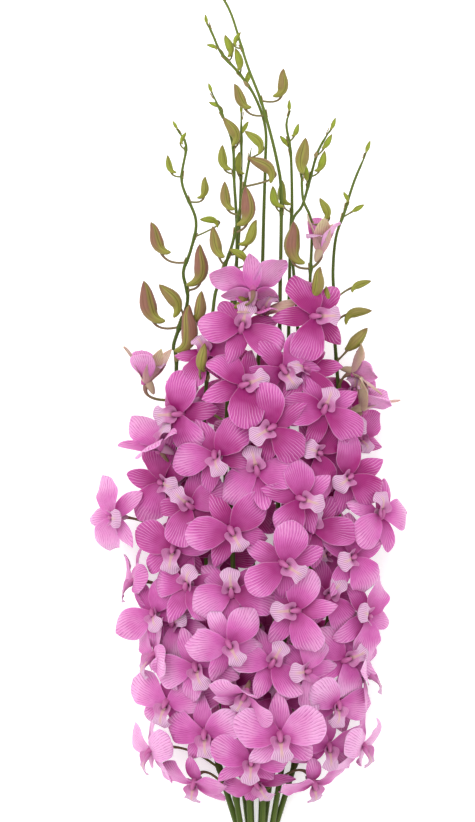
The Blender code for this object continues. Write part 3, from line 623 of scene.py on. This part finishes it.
# %% Stems with nodes, bracts and a slanted cut
STEM_STEP = 4 * MM
STEM_CORNERS = 10
CUT_SLANT = 0.6
NODE_SWELLING = 0.3
NODE_LENGTH = 2.4 * MM
FRESH_FROM = 350 * MM
FRESH_TO = 620 * MM
STREAK_LENGTH = 100 * MM
BRACT_WIDTH = 3.4 * MM
BRACT_TEMPER = dict.fromkeys(PETAL_LIMITS, 0.0) | {"waves": 1.0, "fold": 1.4, "roll": 0.9}


def stem_route(slot, route):
    """The stem from its cut end, through the band, out to its own route."""
    if slot in ("left", "right"):
        across, height = STEMS_IN_MIDDLE * (1 if slot == "right" else -1), 0
    else:
        across = RING_OF_STEMS * math.cos(math.radians(slot))
        height = RING_OF_STEMS * math.sin(math.radians(slot))
    low = [(across * 1.25, CUT_END, BAND_HEIGHT + height * 1.1),
           (across, -BAND_LENGTH, BAND_HEIGHT + height), (across, BAND_LENGTH, BAND_HEIGHT + height)]
    return [np.array(point) for point in low] + [np.array(point) * MM for point in route]


def stem_radius(y, tip_y):
    share = np.clip((y - CUT_END) / (tip_y - CUT_END), 0, 1)
    return STEM_RADIUS + (STEM_TIP_RADIUS - STEM_RADIUS) * share


def nearest(line, y):
    return line[np.argmin(np.abs(line[:, 1] - y))]


def stem(skin, line, roots, slot, cut_slot):
    """The main stem of a spray, swollen at each root, and the pith on its cut end."""
    radii = stem_radius(line[:, 1], line[-1][1])
    for root in roots:
        radii = radii * (1 + NODE_SWELLING * np.exp(-((line[:, 1] - root[1]) / NODE_LENGTH) ** 2))
    radii[-4:] *= np.linspace(1, 0.25, 4)
    tube(skin, line, radii, STEM_CORNERS, slot, tones=ease(line[:, 1], FRESH_FROM, FRESH_TO),
         along=distances_along(line) / STREAK_LENGTH, slant=CUT_SLANT)
    skin.slots[-2] = cut_slot


def bract(skin, root, way, radius, draw, slot):
    """The small papery leaf that clasps the stem under each stalk."""
    side = heading(draw.uniform(0, 360))
    side = unit(side - way * side.dot(way))
    base = root + side * radius * 0.9 - way * 1.5 * MM
    blade(skin, (way, np.cross(side, way), side), base, draw.uniform(4, 6) * MM, BRACT_WIDTH,
          SEPAL_OUTLINE, 12, -10, BRACT_TEMPER, 0.5, 0.5, 5, slot)


# %% [markdown]
# ## Colour and nodes
#
# Colours are written as sRGB hex values, as a paint chart gives them, and one function turns them to
# the linear values that a shader works in. Another adds a node with its settings and links, so each
# material below reads as a short list. The rest is what several materials share: the shader they start
# from, the wave that draws a vein or a seam, and the colour and relief that a finished list ends in.

# %% Helpers for materials
TISSUE_IOR = 1.43
SCATTER_REACH = 1.8 * MM
SCATTER_COLOURS = (1.0, 0.35, 0.75)


def linear(hex_colour):
    """An sRGB hex colour as linear red, green, blue and alpha."""
    values = [int(hex_colour[place:place + 2], 16) / 255 for place in (1, 3, 5)]
    return (*[v / 12.92 if v <= 0.04045 else ((v + 0.055) / 1.055) ** 2.4 for v in values], 1)


def add(tree, kind, inputs, **settings):
    """Adds a shader node: its settings are properties, and its inputs are values, nodes or sockets."""
    made = tree.nodes.new("ShaderNode" + kind)
    for name, value in settings.items():
        setattr(made, name, value)
    for socket, value in inputs.items():
        if isinstance(value, bpy.types.Node):
            value = value.outputs[0]
        if isinstance(value, bpy.types.NodeSocket):
            tree.links.new(value, made.inputs[socket])
        else:
            made.inputs[socket].default_value = value
    return made


def new_material(name, roughness, specular=0.35, skin_depth=0.0):
    """A material with the IOR of water-filled tissue; rubber and card are too matt to show another one."""
    made = bpy.data.materials.new(name)
    made.use_nodes = True
    shader = made.node_tree.nodes["Principled BSDF"]
    shader.inputs["Roughness"].default_value = roughness
    shader.inputs["IOR"].default_value = TISSUE_IOR
    shader.inputs["Specular IOR Level"].default_value = specular
    shader.inputs["Subsurface Weight"].default_value = skin_depth
    shader.inputs["Subsurface Radius"].default_value = SCATTER_COLOURS
    shader.inputs["Subsurface Scale"].default_value = SCATTER_REACH
    return made, made.node_tree, shader


def crests(tree, count, times=1, start=0.0):
    """A wave with so many crests, 1 high, for each whole count; start shifts it along."""
    turned = add(tree, "Math", {0: count, 1: times * math.tau, 2: start}, operation="MULTIPLY_ADD")
    return add(tree, "Math", {0: turned}, operation="COSINE")


def coat(tree, shader, colour, height, strength, depth):
    """Gives a shader its colour, and a relief of some depth that follows a height."""
    tree.links.new(colour.outputs[2], shader.inputs["Base Color"])
    relief = add(tree, "Bump", {"Height": height, "Strength": strength, "Distance": depth})
    tree.links.new(relief.outputs[0], shader.inputs["Normal"])


# %% [markdown]
# ## Petal tissue
#
# A dendrobium petal is a thin, waxy, water-filled blade with a satin shine. Its colour is strongest near
# the middle of the bloom and pales toward the rim, which shows as a thin light line. Fine dark veins fan
# out along it, about 1.7 mm apart, with pale lines between them, and finer veins start between those a
# third of the way out. The "veins" map counts them, so a vein is a crest of a cosine, narrowed by a map
# range and broken up by stretched noise.

# %% Petal tissue material
VEIN_RELIEF = 0.03 * MM


def petal_tissue(name, deep, middle, pale, line, rim):
    made, tree, shader = new_material(name, 0.46, 0.3, 0.4)
    veins = add(tree, "UVMap", {}, uv_map="veins")
    finish = add(tree, "SeparateXYZ", {0: add(tree, "UVMap", {}, uv_map="finish")})
    place = add(tree, "SeparateXYZ", {0: veins})
    solid = add(tree, "TexCoord", {}).outputs["Object"]
    wander = add(tree, "TexNoise", {"Vector": solid, "Scale": 95.0, "Detail": 2.0})
    drift = add(tree, "Math", {0: wander, 1: 1.5}, operation="MULTIPLY")
    count = add(tree, "Math", {0: place.outputs[0], 1: drift}, operation="ADD")
    branched = add(tree, "MapRange", {0: place.outputs[1], 1: 0.35, 2: 0.7, 3: 0.0, 4: 0.55})
    finer = add(tree, "Math", {0: crests(tree, count, 2, 1.2), 1: branched}, operation="MULTIPLY")
    crest = add(tree, "Math", {0: crests(tree, count), 1: finer}, operation="MAXIMUM")
    broken = add(tree, "TexNoise", {"Vector": add(tree, "Mapping", {0: veins, 3: (1.3, 3.5, 1)}),
                                    "Scale": 2.4, "Detail": 3.0})
    strength = add(tree, "MapRange", {0: broken, 1: 0.38, 2: 0.62, 3: 0.1, 4: 1.0})
    dark = add(tree, "MapRange", {0: crest, 1: 0.4, 2: 0.95})
    dark = add(tree, "Math", {0: dark, 1: strength}, operation="MULTIPLY")
    inside = add(tree, "MapRange", {0: finish.outputs[1], 1: 0.98, 2: 0.8})
    dark = add(tree, "Math", {0: dark, 1: inside}, operation="MULTIPLY")
    light = add(tree, "MapRange", {0: crest, 1: 0.05, 2: -0.6})
    pale_lines = add(tree, "MapRange", {0: place.outputs[1], 1: 0.05, 2: 0.7, 3: 0.18, 4: 0.5})
    light = add(tree, "Math", {0: light, 1: pale_lines}, operation="MULTIPLY")
    patchy = add(tree, "TexNoise", {"Scale": 55.0, "Detail": 2.0, "Vector": solid})
    shift = add(tree, "MapRange", {0: patchy, 1: 0.3, 2: 0.7, 3: -0.18, 4: 0.16})
    tone = add(tree, "Math", {0: finish.outputs[0], 1: shift}, operation="ADD")
    outward = add(tree, "MapRange", {0: place.outputs[1], 1: 0.0, 2: 0.8, 3: -0.5, 4: 0.08})
    tone = add(tree, "Math", {0: tone, 1: outward}, operation="ADD")
    ground = add(tree, "ValToRGB", {0: tone})
    ramp = ground.color_ramp.elements
    ramp[0].color = linear(deep)
    ramp[0].position = 0.0
    ramp[1].color = linear(pale)
    ramp[1].position = 1.0
    ramp.new(0.5).color = linear(middle)
    lit = add(tree, "Mix", {0: light, 6: ground, 7: linear(rim)}, data_type="RGBA")
    veined = add(tree, "Mix", {0: add(tree, "Math", {0: dark, 1: 0.62}, operation="MULTIPLY"),
                               6: lit.outputs[2], 7: linear(line)}, data_type="RGBA")
    edge = add(tree, "MapRange", {0: finish.outputs[1], 1: 0.93, 2: 1.0, 3: 0.0, 4: 0.3})
    coloured = add(tree, "Mix", {0: edge, 6: veined.outputs[2], 7: linear(rim)}, data_type="RGBA")
    coat(tree, shader, coloured, crest, 0.5, VEIN_RELIEF)
    shader.inputs["Sheen Weight"].default_value = 0.06
    return made


petal_finish = petal_tissue("satin petal tissue", "#911468", "#be5aa2", "#d69ac5", "#8c1c6c", "#e7c1de")
young_finish = petal_tissue("young sepal tissue", "#a4747f", "#bb9291", "#bdb28c", "#8a6658", "#c9c29a")
print("petal tissue:", len(petal_finish.node_tree.nodes), "nodes")

# %% [markdown]
# ## Lip tissue
#
# The middle lobe is pale pink, with purple whiskers that fan out to its rim, about 1.3 mm apart. The side
# lobes are mauve with fainter lines, the callus between them is a dull salmon, and the throat is dark.

# %% Lip tissue material
def lip_tissue(name, pale, ears, whisker, callus, throat, outside):
    made, tree, shader = new_material(name, 0.48, 0.3, 0.15)
    place = add(tree, "SeparateXYZ", {0: add(tree, "UVMap", {}, uv_map="veins")})
    finish = add(tree, "SeparateXYZ", {0: add(tree, "UVMap", {}, uv_map="finish")})
    solid = add(tree, "TexCoord", {}).outputs["Object"]
    wander = add(tree, "TexNoise", {"Vector": solid, "Scale": 90.0, "Detail": 1.0})
    crest = crests(tree, add(tree, "Math", {0: place.outputs[0], 1: wander}, operation="ADD"))
    lines = add(tree, "MapRange", {0: crest, 1: 0.42, 2: 0.95})
    in_front = add(tree, "MapRange", {0: place.outputs[1], 1: 0.4, 2: 0.56, 3: 0.0, 4: 1.0})
    strength = add(tree, "MapRange", {0: in_front, 3: 0.2, 4: 0.75})
    lines = add(tree, "Math", {0: lines, 1: strength}, operation="MULTIPLY")
    not_rim = add(tree, "MapRange", {0: finish.outputs[1], 1: 1.0, 2: 0.8})
    lines = add(tree, "Math", {0: lines, 1: not_rim}, operation="MULTIPLY")
    ground = add(tree, "Mix", {0: in_front, 6: linear(ears), 7: linear(pale)}, data_type="RGBA")
    striped = add(tree, "Mix", {0: lines, 6: ground.outputs[2], 7: linear(whisker)}, data_type="RGBA")
    aside = add(tree, "Math", {0: place.outputs[0]}, operation="ABSOLUTE")
    near_middle = add(tree, "MapRange", {0: aside, 1: 1.2, 2: 0.5, 3: 0.0, 4: 0.8})
    pad_end = add(tree, "MapRange", {0: place.outputs[1], 1: 0.82, 2: 0.6})
    pad = add(tree, "Math", {0: near_middle, 1: pad_end}, operation="MULTIPLY")
    padded = add(tree, "Mix", {0: pad, 6: striped.outputs[2], 7: linear(callus)}, data_type="RGBA")
    depth = add(tree, "MapRange", {0: place.outputs[1], 1: 0.34, 2: 0.1, 3: 0.0, 4: 0.85})
    in_tube = add(tree, "MapRange", {0: aside, 1: 3.2, 2: 1.4})
    depth = add(tree, "Math", {0: depth, 1: in_tube}, operation="MULTIPLY")
    inside = add(tree, "Mix", {0: depth, 6: padded.outputs[2], 7: linear(throat)}, data_type="RGBA")
    back = add(tree, "MapRange", {0: finish.outputs[0], 1: 0.0, 2: 0.6})
    whole = add(tree, "Mix", {0: back, 6: inside.outputs[2], 7: linear(outside)}, data_type="RGBA")
    coat(tree, shader, whole, crest, 0.3, VEIN_RELIEF)
    return made


lip_finish = lip_tissue("striped lip tissue", pale="#cba2c0", ears="#bd78a6", whisker="#7a2064",
                        callus="#c09c90", throat="#6a1a4c", outside="#bd7ba7")
print("lip tissue:", len(lip_finish.node_tree.nodes), "nodes")


# %% [markdown]
# ## Stems, buds and small parts
#
# A stem has a smooth waxy skin with faint lengthwise streaks, green low down and fresher toward its
# tip. Pedicels turn from green at the stem to mauve at the bloom. Buds are olive at their base and
# mauve-brown at their tip, with darker seams where the sepals meet.

# %% Plant skin materials
def plant_skin(name, first, second, streak, roughness, stretch):
    """A smooth plant skin: two colours mixed by tone, and fine streaks along the growth."""
    made, tree, shader = new_material(name, roughness, 0.22, 0.08)
    veins = add(tree, "UVMap", {}, uv_map="veins")
    finish = add(tree, "SeparateXYZ", {0: add(tree, "UVMap", {}, uv_map="finish")})
    mixed = add(tree, "Mix", {0: finish.outputs[0], 6: linear(first), 7: linear(second)}, data_type="RGBA")
    fibres = add(tree, "TexNoise", {"Vector": add(tree, "Mapping", {0: veins, 3: stretch}),
                                    "Scale": 1.0, "Detail": 3.0})
    share = add(tree, "MapRange", {0: fibres, 1: 0.4, 2: 0.75, 3: 0.0, 4: 0.55})
    streaked = add(tree, "Mix", {0: share, 6: mixed.outputs[2], 7: linear(streak)}, data_type="RGBA")
    coat(tree, shader, streaked, fibres, 0.3, 0.15 * MM)
    return made


stem_finish = plant_skin("waxy stem skin", "#3c4d18", "#5d6c24", "#6c7a32", 0.45, (14, 2.0, 1))
pedicel_finish = plant_skin("pedicel skin", "#6a7630", "#86605c", "#755640", 0.5, (10, 2.0, 1))
bract_finish = plant_skin("papery bract", "#9a8c60", "#8d7a54", "#6d5c40", 0.7, (8, 1.5, 1))
spur_finish = plant_skin("spur skin", "#b878a8", "#a89478", "#a37f88", 0.5, (8, 1.5, 1))
column_finish = plant_skin("column tissue", "#ac5088", "#b8699a", "#9a3f78", 0.42, (8, 2.0, 1))
cap_finish = plant_skin("anther cap", "#d3c3b0", "#cdb2b4", "#b89aa0", 0.45, (6, 2.0, 1))
cut_finish = plant_skin("cut pith", "#b4ba88", "#b4ba88", "#929c62", 0.75, (6, 6.0, 1))


# %% Bud skin material
def bud_skin(name, green, mauve, olive, tip, seam):
    """tone 0 is a young green bud and 1 a grown mauve one; the seams and the foot stay olive."""
    made, tree, shader = new_material(name, 0.48, 0.22, 0.08)
    veins = add(tree, "UVMap", {}, uv_map="veins")
    place = add(tree, "SeparateXYZ", {0: veins})
    finish = add(tree, "SeparateXYZ", {0: add(tree, "UVMap", {}, uv_map="finish")})
    grown = add(tree, "Mix", {0: finish.outputs[0], 6: linear(green), 7: linear(mauve)}, data_type="RGBA")
    footward = add(tree, "MapRange", {0: place.outputs[1], 1: 0.5, 2: 0.12, 3: 0.0, 4: 0.8})
    footed = add(tree, "Mix", {0: footward, 6: grown.outputs[2], 7: linear(olive)}, data_type="RGBA")
    tipward = add(tree, "MapRange", {0: place.outputs[1], 1: 0.8, 2: 1.0, 3: 0.0, 4: 0.7})
    tipped = add(tree, "Mix", {0: tipward, 6: footed.outputs[2], 7: linear(tip)}, data_type="RGBA")
    third = crests(tree, place.outputs[0], BUD_SEAMS)
    beside = add(tree, "MapRange", {0: third, 1: 0.1, 2: 0.9, 3: 0.0, 4: 0.65})
    edged = add(tree, "Mix", {0: beside, 6: tipped.outputs[2], 7: linear(olive)}, data_type="RGBA")
    fibres = add(tree, "TexNoise", {"Vector": add(tree, "Mapping", {0: veins, 3: (26, 2.2, 1)}),
                                    "Scale": 1.0, "Detail": 2.0})
    share = add(tree, "MapRange", {0: fibres, 1: 0.42, 2: 0.7, 3: 0.0, 4: 0.35})
    streaked = add(tree, "Mix", {0: share, 6: edged.outputs[2], 7: linear(seam)}, data_type="RGBA")
    line = add(tree, "MapRange", {0: third, 1: 0.965, 2: 1.0, 3: 0.0, 4: 0.65})
    seamed = add(tree, "Mix", {0: line, 6: streaked.outputs[2], 7: linear(seam)}, data_type="RGBA")
    coat(tree, shader, seamed, fibres, 0.3, 0.12 * MM)
    return made


bud_finish = bud_skin("bud skin", "#8c9c30", "#8a5f50", "#8b8f38", "#683a34", "#4f3826")
print("materials:", len(bpy.data.materials))

# %% [markdown]
# ## Growing the sprays
#
# Every bloom is put together from its row in the table: five blades, a lip, a column, a spur and its
# stalk. The tone of its petals follows the bunch: strong magenta near the top of the flowers and paler
# toward the oldest blooms at the bottom, with small differences. A few blooms, most of them at the
# sides, are given a paler tone of their own. A young bloom that is still half shut has pale green-pink
# sepals, narrow petals and paler backs.

# %% The finishes of a spray's three pieces, and their numbers
MATERIALS = {"petals": [petal_finish, spur_finish, young_finish],
             "lips": [lip_finish, column_finish, cap_finish],
             "stalks": [stem_finish, pedicel_finish, bud_finish, bract_finish, cut_finish]}
PETAL, SPUR, YOUNG_SEPAL = range(3)
LIP, COLUMN, CAP = range(3)
STEM, PEDICEL, BUD, BRACT, CUT = range(5)
print("finishes in a piece:", {kind: len(finishes) for kind, finishes in MATERIALS.items()})

# %% One bloom
KINDS = [
    # angle in the face, length, width, outline, reach of the hub, rise, pitch, bend, veins, petal or not
    (90, SEPAL_LENGTH, SEPAL_WIDTH, SEPAL_OUTLINE, 1.0, -1.2, 10, -28, 8, False),
    (-42, SEPAL_LENGTH, SEPAL_WIDTH, SEPAL_OUTLINE, 1.05, -1.2, 8, -28, 8, False),
    (222, SEPAL_LENGTH, SEPAL_WIDTH, SEPAL_OUTLINE, 1.05, -1.2, 8, -28, 8, False),
    (20, PETAL_LENGTH, PETAL_WIDTH, PETAL_OUTLINE, 1.1, 0.9, 17, -36, 14, True),
    (160, PETAL_LENGTH, PETAL_WIDTH, PETAL_OUTLINE, 1.1, 0.9, 17, -36, 14, True),
]
BLADE_ROOT = 0.42
LIP_BASE = (0.42, 1.6)
# a bloom less open than this, and further along the bunch than this many millimetres, is a young one
HALF_OPEN = 0.62
YOUNG_FROM = 310
# the length and width of a young petal, and the length of a young sepal, as shares of a full one's
YOUNG_PETAL = (0.86, 0.8)
YOUNG_SEPAL_LENGTH = 1.06
# how much paler the back of a blade is than its front
PALER_BACK = 0.26
YOUNG_PALER_BACK = 0.45
PALE_BLOOMS = {("spray_05", 4): 1.05, ("spray_05", 7): 0.95, ("spray_05", 9): 1.2, ("spray_05", 0): 0.6,
               ("spray_09", 3): 0.75, ("spray_09", 1): 0.8, ("spray_09", 6): 0.9, ("spray_03", 0): 0.7,
               ("spray_10", 6): 0.7, ("spray_09", 8): 0.85, ("spray_05", 2): 0.75}


def bloom_tone(name, number, place, draw):
    """How pale a bloom is: 0 is deep magenta and 1 is pale pink.

    It is palest where y is small, among the oldest blooms, and paler again at both sides. Low blooms in
    the middle, under the top layer, are made deeper: that is painted shade. Places are in millimetres.
    """
    x, y, z = place[:3]
    tone = 0.92 - 0.44 * ease(y, 90, 260) - 0.1 * ease(y, 270, 380)
    # painted shade: low blooms in the middle of the bunch, under the top layer, are made deeper
    tone -= 0.3 * (1 - ease(z, 52, 80)) * (1 - ease(abs(x), 30, 60))
    tone += 0.12 * ease(abs(x), 50, 80) + draw.uniform(-0.12, 0.12)
    return PALE_BLOOMS.get((name, number), float(tone))


def bloom(name, number, place, root, skins):
    draw = random.Random(f"{name} bloom {number}")
    x, y, z, lip_way, lean, toward, size, opened = place
    centre = np.array([x, y, z]) * MM
    across, up, out = facing(lip_way + draw.uniform(-6, 6), lean + draw.uniform(-8, 8), toward)
    closing = (1 - opened) * CLOSED_PITCH
    young = opened < HALF_OPEN and y > YOUNG_FROM
    tone = bloom_tone(name, number, place, draw)
    for angle, length, width, outline, reach, rise, pitch, bend, veins, is_petal in KINDS:
        limits, rolls = (PETAL_LIMITS, PETAL_ROLLS) if is_petal else (SEPAL_LIMITS, SEPAL_ROLLS)
        temper = blade_temper(limits, rolls, draw)
        turn = math.radians(angle + draw.uniform(-5, 5))
        along = across * math.cos(turn) + up * math.sin(turn)
        beside = up * math.cos(turn) - across * math.sin(turn)
        base = centre + (out * rise * MM + along * HUB_RADIUS * BLADE_ROOT) * size
        full = (length + HUB_RADIUS * (reach - BLADE_ROOT)) * size * draw.uniform(0.96, 1.06)
        shape = (outline[0] + draw.uniform(-0.12, 0.12), outline[1] + draw.uniform(-0.1, 0.12))
        wide = width * size * draw.uniform(0.96, 1.08)
        if young and is_petal:
            full *= YOUNG_PETAL[0]
            wide *= YOUNG_PETAL[1]
        shut = closing * 0.9 if is_petal else closing
        # painted shade: sepals, which lie behind the petals, are made 0.08 deeper
        own = tone + draw.uniform(-0.16, 0.14) - (0 if is_petal else 0.08)
        slot = PETAL
        if young and not is_petal:
            full *= YOUNG_SEPAL_LENGTH
            own = draw.uniform(0.35, 0.75)
            slot = YOUNG_SEPAL
        back = own + (YOUNG_PALER_BACK if young else PALER_BACK)
        rise_from = pitch + shut + draw.uniform(-9, 13)
        curve = bend + closing * 0.3 + draw.uniform(-24, 12)
        blade(skins["petals"], (along, beside, out), base, full, wide, shape, rise_from, curve, temper,
              own, back, veins, slot)
    lip_temper = {"nod": draw.uniform(-8, 8) + closing * 0.2, "waves": draw.uniform(0.9, 1.3),
                  "drop": draw.uniform(35, 80), "tube": draw.uniform(0.85, 1.15), "phase": draw.random()}
    lip_root = centre + (out * LIP_BASE[1] * MM - up * HUB_RADIUS * LIP_BASE[0]) * size
    lip(skins["lips"], (-up, across, out), lip_root, size, lip_temper, LIP)
    column(skins["lips"], centre, up, out, size, COLUMN, CAP)
    spur(skins["petals"], centre, up, out, size, 1.0 if young else 0.25 * tone, SPUR)
    end = centre + (up * 0.6 - out * 4.4) * MM * size
    pedicel(skins["stalks"], root, end, out, size, PEDICEL)


# %% [markdown]
# A real bunch is so full that no table shows between its blooms. A few small inner blooms, deep among the
# stems, close the gaps: only the tips of their petals are seen.

# %% Inner blooms
INNER_BLOOMS = {
    "spray_01": [(-9, 306, 56, 30, 14, 90, 0.85, 1.0)],
    "spray_05": [(-52, 283, 50, 240, 20, 180, 0.85, 1.0)],
    "spray_08": [(50, 226, 44, 200, 18, 20, 0.85, 1.0), (52, 274, 46, 80, 16, 0, 0.85, 1.0)],
    "spray_09": [(68, 342, 40, 100, 24, 20, 0.8, 1.0), (72, 309, 38, 300, 30, 10, 0.8, 1.0),
                 (70, 168, 36, 60, 30, 10, 0.8, 1.0)],
}

# %% All the sprays, three pieces each
BUD_DROP = 3 * MM


def spray_pieces(name):
    spray = SPRAYS[name]
    skins = {kind: Skin() for kind in MATERIALS}
    line = smooth_route(stem_route(spray["slot"], spray["route"]), STEM_STEP)
    draw = random.Random(name)
    roots = []
    for number, place in enumerate(spray["blooms"] + INNER_BLOOMS.get(name, [])):
        root = nearest(line, place[1] * MM - PEDICEL_DROP)
        roots.append(root)
        bloom(name, number, place, root, skins)
    for x, y, z, length, points in spray["buds"]:
        root = nearest(line, y * MM - length * MM * 0.6 - BUD_DROP)
        roots.append(root)
        bud(skins["stalks"], np.array([x, y, z]) * MM, length * MM, points, root, draw, BUD, PEDICEL)
    stem(skins["stalks"], line, roots, STEM, CUT)
    for root in roots:
        place = int(np.argmin(np.abs(line[:, 1] - root[1])))
        low, high = max(place - 1, 0), min(place + 1, len(line) - 1)
        way = unit(line[high] - line[low])
        bract(skins["stalks"], root, way, stem_radius(root[1], line[-1][1]), draw, BRACT)
    made = []
    for kind, skin in skins.items():
        piece = skin.make(f"{name}_{kind}", MATERIALS[kind])
        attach(piece, "root")
        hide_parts(name)
        made.append(piece)
    return made


for name in SPRAYS:
    pieces = spray_pieces(name)
    counts = [sum(len(face.vertices) - 2 for face in piece.data.polygons) for piece in pieces]
    print(name, "triangles:", counts)


# %% [markdown]
# ## The rubber band
#
# A florist winds one thin band several times round the stems. It is natural rubber, matt and tan, cut
# from a tube, so its section is a flat rectangle with sharp corners that the turns round off.

# %% A wound band
BAND_TURNS = 3
STRAND_WIDTH = 1.9 * MM
STRAND_SECTION = [(-1, 0.7), (-0.85, 1), (0.85, 1), (1, 0.7), (1, -0.7), (0.85, -1), (-0.85, -1), (-1, -0.7)]
STEPS_IN_A_TURN = 48
CROSSING_FROM = 0.86
CROSSING_TO = 0.99
CROSSING_MIDDLE = 0.925
CROSSING_LENGTH = 0.035
BAND_REST = 0.02 * MM


def band_line():
    """The middle of the strand: turns side by side, and one crossing back over the top of them."""
    steps = np.linspace(0, 1, STEPS_IN_A_TURN * BAND_TURNS + 1)
    angle = steps * math.tau * BAND_TURNS - math.pi / 2
    spread = BAND_LENGTH - STRAND_WIDTH
    back = ease(steps, CROSSING_FROM, CROSSING_TO)
    y = (steps / CROSSING_FROM).clip(0, 1) * spread * (1 - back) - spread / 2
    over = np.exp(-((steps - CROSSING_MIDDLE) / CROSSING_LENGTH) ** 2)
    radius = BAND_BORE + BAND_WALL / 2 + over * BAND_WALL * 1.05
    return np.stack([radius * np.cos(angle), y, BAND_HEIGHT + radius * np.sin(angle)], -1), angle


def rubber_material():
    """Natural rubber: matt, tan, faintly mottled, with a fine dusting of talc."""
    made, tree, shader = new_material("natural rubber", 0.68, 0.3)
    where = add(tree, "TexCoord", {}).outputs["Object"]
    mottled = add(tree, "TexNoise", {"Vector": where, "Scale": 420.0, "Detail": 3.0})
    ground = add(tree, "Mix", {0: mottled, 6: linear("#a97744"), 7: linear("#c79a63")}, data_type="RGBA")
    coat(tree, shader, ground, mottled, 0.25, 0.1 * MM)
    return made


def rubber_band():
    line, angle = band_line()
    outward = np.stack([np.cos(angle), np.zeros(len(angle)), np.sin(angle)], -1)
    aside = np.array([0.0, 1.0, 0.0])
    half_wide, half_thick = STRAND_WIDTH / 2, BAND_WALL / 2
    rings = np.stack([line + outward * thick * half_thick + aside * wide * half_wide
                      for wide, thick in STRAND_SECTION], 1)
    rings[..., 2] = np.maximum(rings[..., 2], BAND_REST)
    plain = np.zeros((len(line), len(STRAND_SECTION) + 1, 2))
    skin = Skin()
    skin.loft(rings, plain, plain, 0)
    piece = skin.make("rubber_band_turns", [rubber_material()])
    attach(piece, "root")
    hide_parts("rubber_band")
    print("rubber band:", BAND_TURNS, "turns,", round(distances_along(line)[-1] / MM), "mm of strand")


rubber_band()

# %% [markdown]
# ## Table, light and camera
#
# The bunch lies on a plain white table under soft light from the upper left. The table carries a painted
# glow: a weak emission in its white, so that the shadows on it almost vanish. The camera looks straight
# down from far enough that the perspective is weak, as a product photograph does. At the height of
# the blooms one pixel of the 475 x 822 picture is 0.7 mm.

# %% Table and light
TABLE_SIDE = 8
PAINTED_TABLE_GLOW = 0.3
SKY_STRENGTH = 1.1
SUN_STRENGTH = 1.3
SUN_SPREAD = 40
SUN_TILT = (-22, -16)


def table_top():
    bpy.ops.mesh.primitive_plane_add(size=TABLE_SIDE)
    floor = bpy.context.object
    floor.name = "table_top"
    made, tree, shader = new_material("white card", 0.9, 0.1)
    grain = add(tree, "TexNoise", {"Scale": 900.0, "Detail": 2.0,
                                   "Vector": add(tree, "TexCoord", {}).outputs["Object"]})
    tint = add(tree, "Mix", {0: grain, 6: linear("#fbfbfb"), 7: linear("#ffffff")}, data_type="RGBA")
    tree.links.new(tint.outputs[2], shader.inputs["Base Color"])
    # painted glow: the table emits a little light of its own, so that the shadows on it almost vanish
    shader.inputs["Emission Color"].default_value = linear("#ffffff")
    shader.inputs["Emission Strength"].default_value = PAINTED_TABLE_GLOW
    floor.data.materials.append(made)


def light():
    world = bpy.data.worlds.new("soft studio")
    world.use_nodes = True
    sky = world.node_tree.nodes["Background"]
    sky.inputs["Color"].default_value = linear("#ffffff")
    sky.inputs["Strength"].default_value = SKY_STRENGTH
    bpy.context.scene.world = world
    lamp = bpy.data.lights.new("window", "SUN")
    lamp.energy = SUN_STRENGTH
    lamp.angle = math.radians(SUN_SPREAD)
    holder = bpy.data.objects.new("window", lamp)
    holder.rotation_euler = (math.radians(SUN_TILT[0]), math.radians(SUN_TILT[1]), 0)
    bpy.context.scene.collection.objects.link(holder)


table_top()
light()
bpy.context.scene.view_settings.view_transform = "Standard"

# %% Camera
PICTURE = (475, 822)
MM_PER_PIXEL = 0.7
BLOOM_HEIGHT = 70 * MM
BAND_PIXEL = (257, 880)
LENS = 100
SENSOR = 36


def camera():
    """Looks straight down, with the band's middle where the photograph would have it, below its edge."""
    lens = bpy.data.cameras.new("camera")
    lens.lens = LENS
    lens.sensor_width = SENSOR
    distance = LENS / SENSOR * PICTURE[1] * MM_PER_PIXEL * MM
    holder = bpy.data.objects.new("camera", lens)
    holder.location = ((PICTURE[0] / 2 - BAND_PIXEL[0]) * MM_PER_PIXEL * MM,
                       (BAND_PIXEL[1] - PICTURE[1] / 2) * MM_PER_PIXEL * MM, BLOOM_HEIGHT + distance)
    bpy.context.scene.collection.objects.link(holder)
    bpy.context.scene.camera = holder
    print("camera:", [round(value, 3) for value in holder.location])


camera()
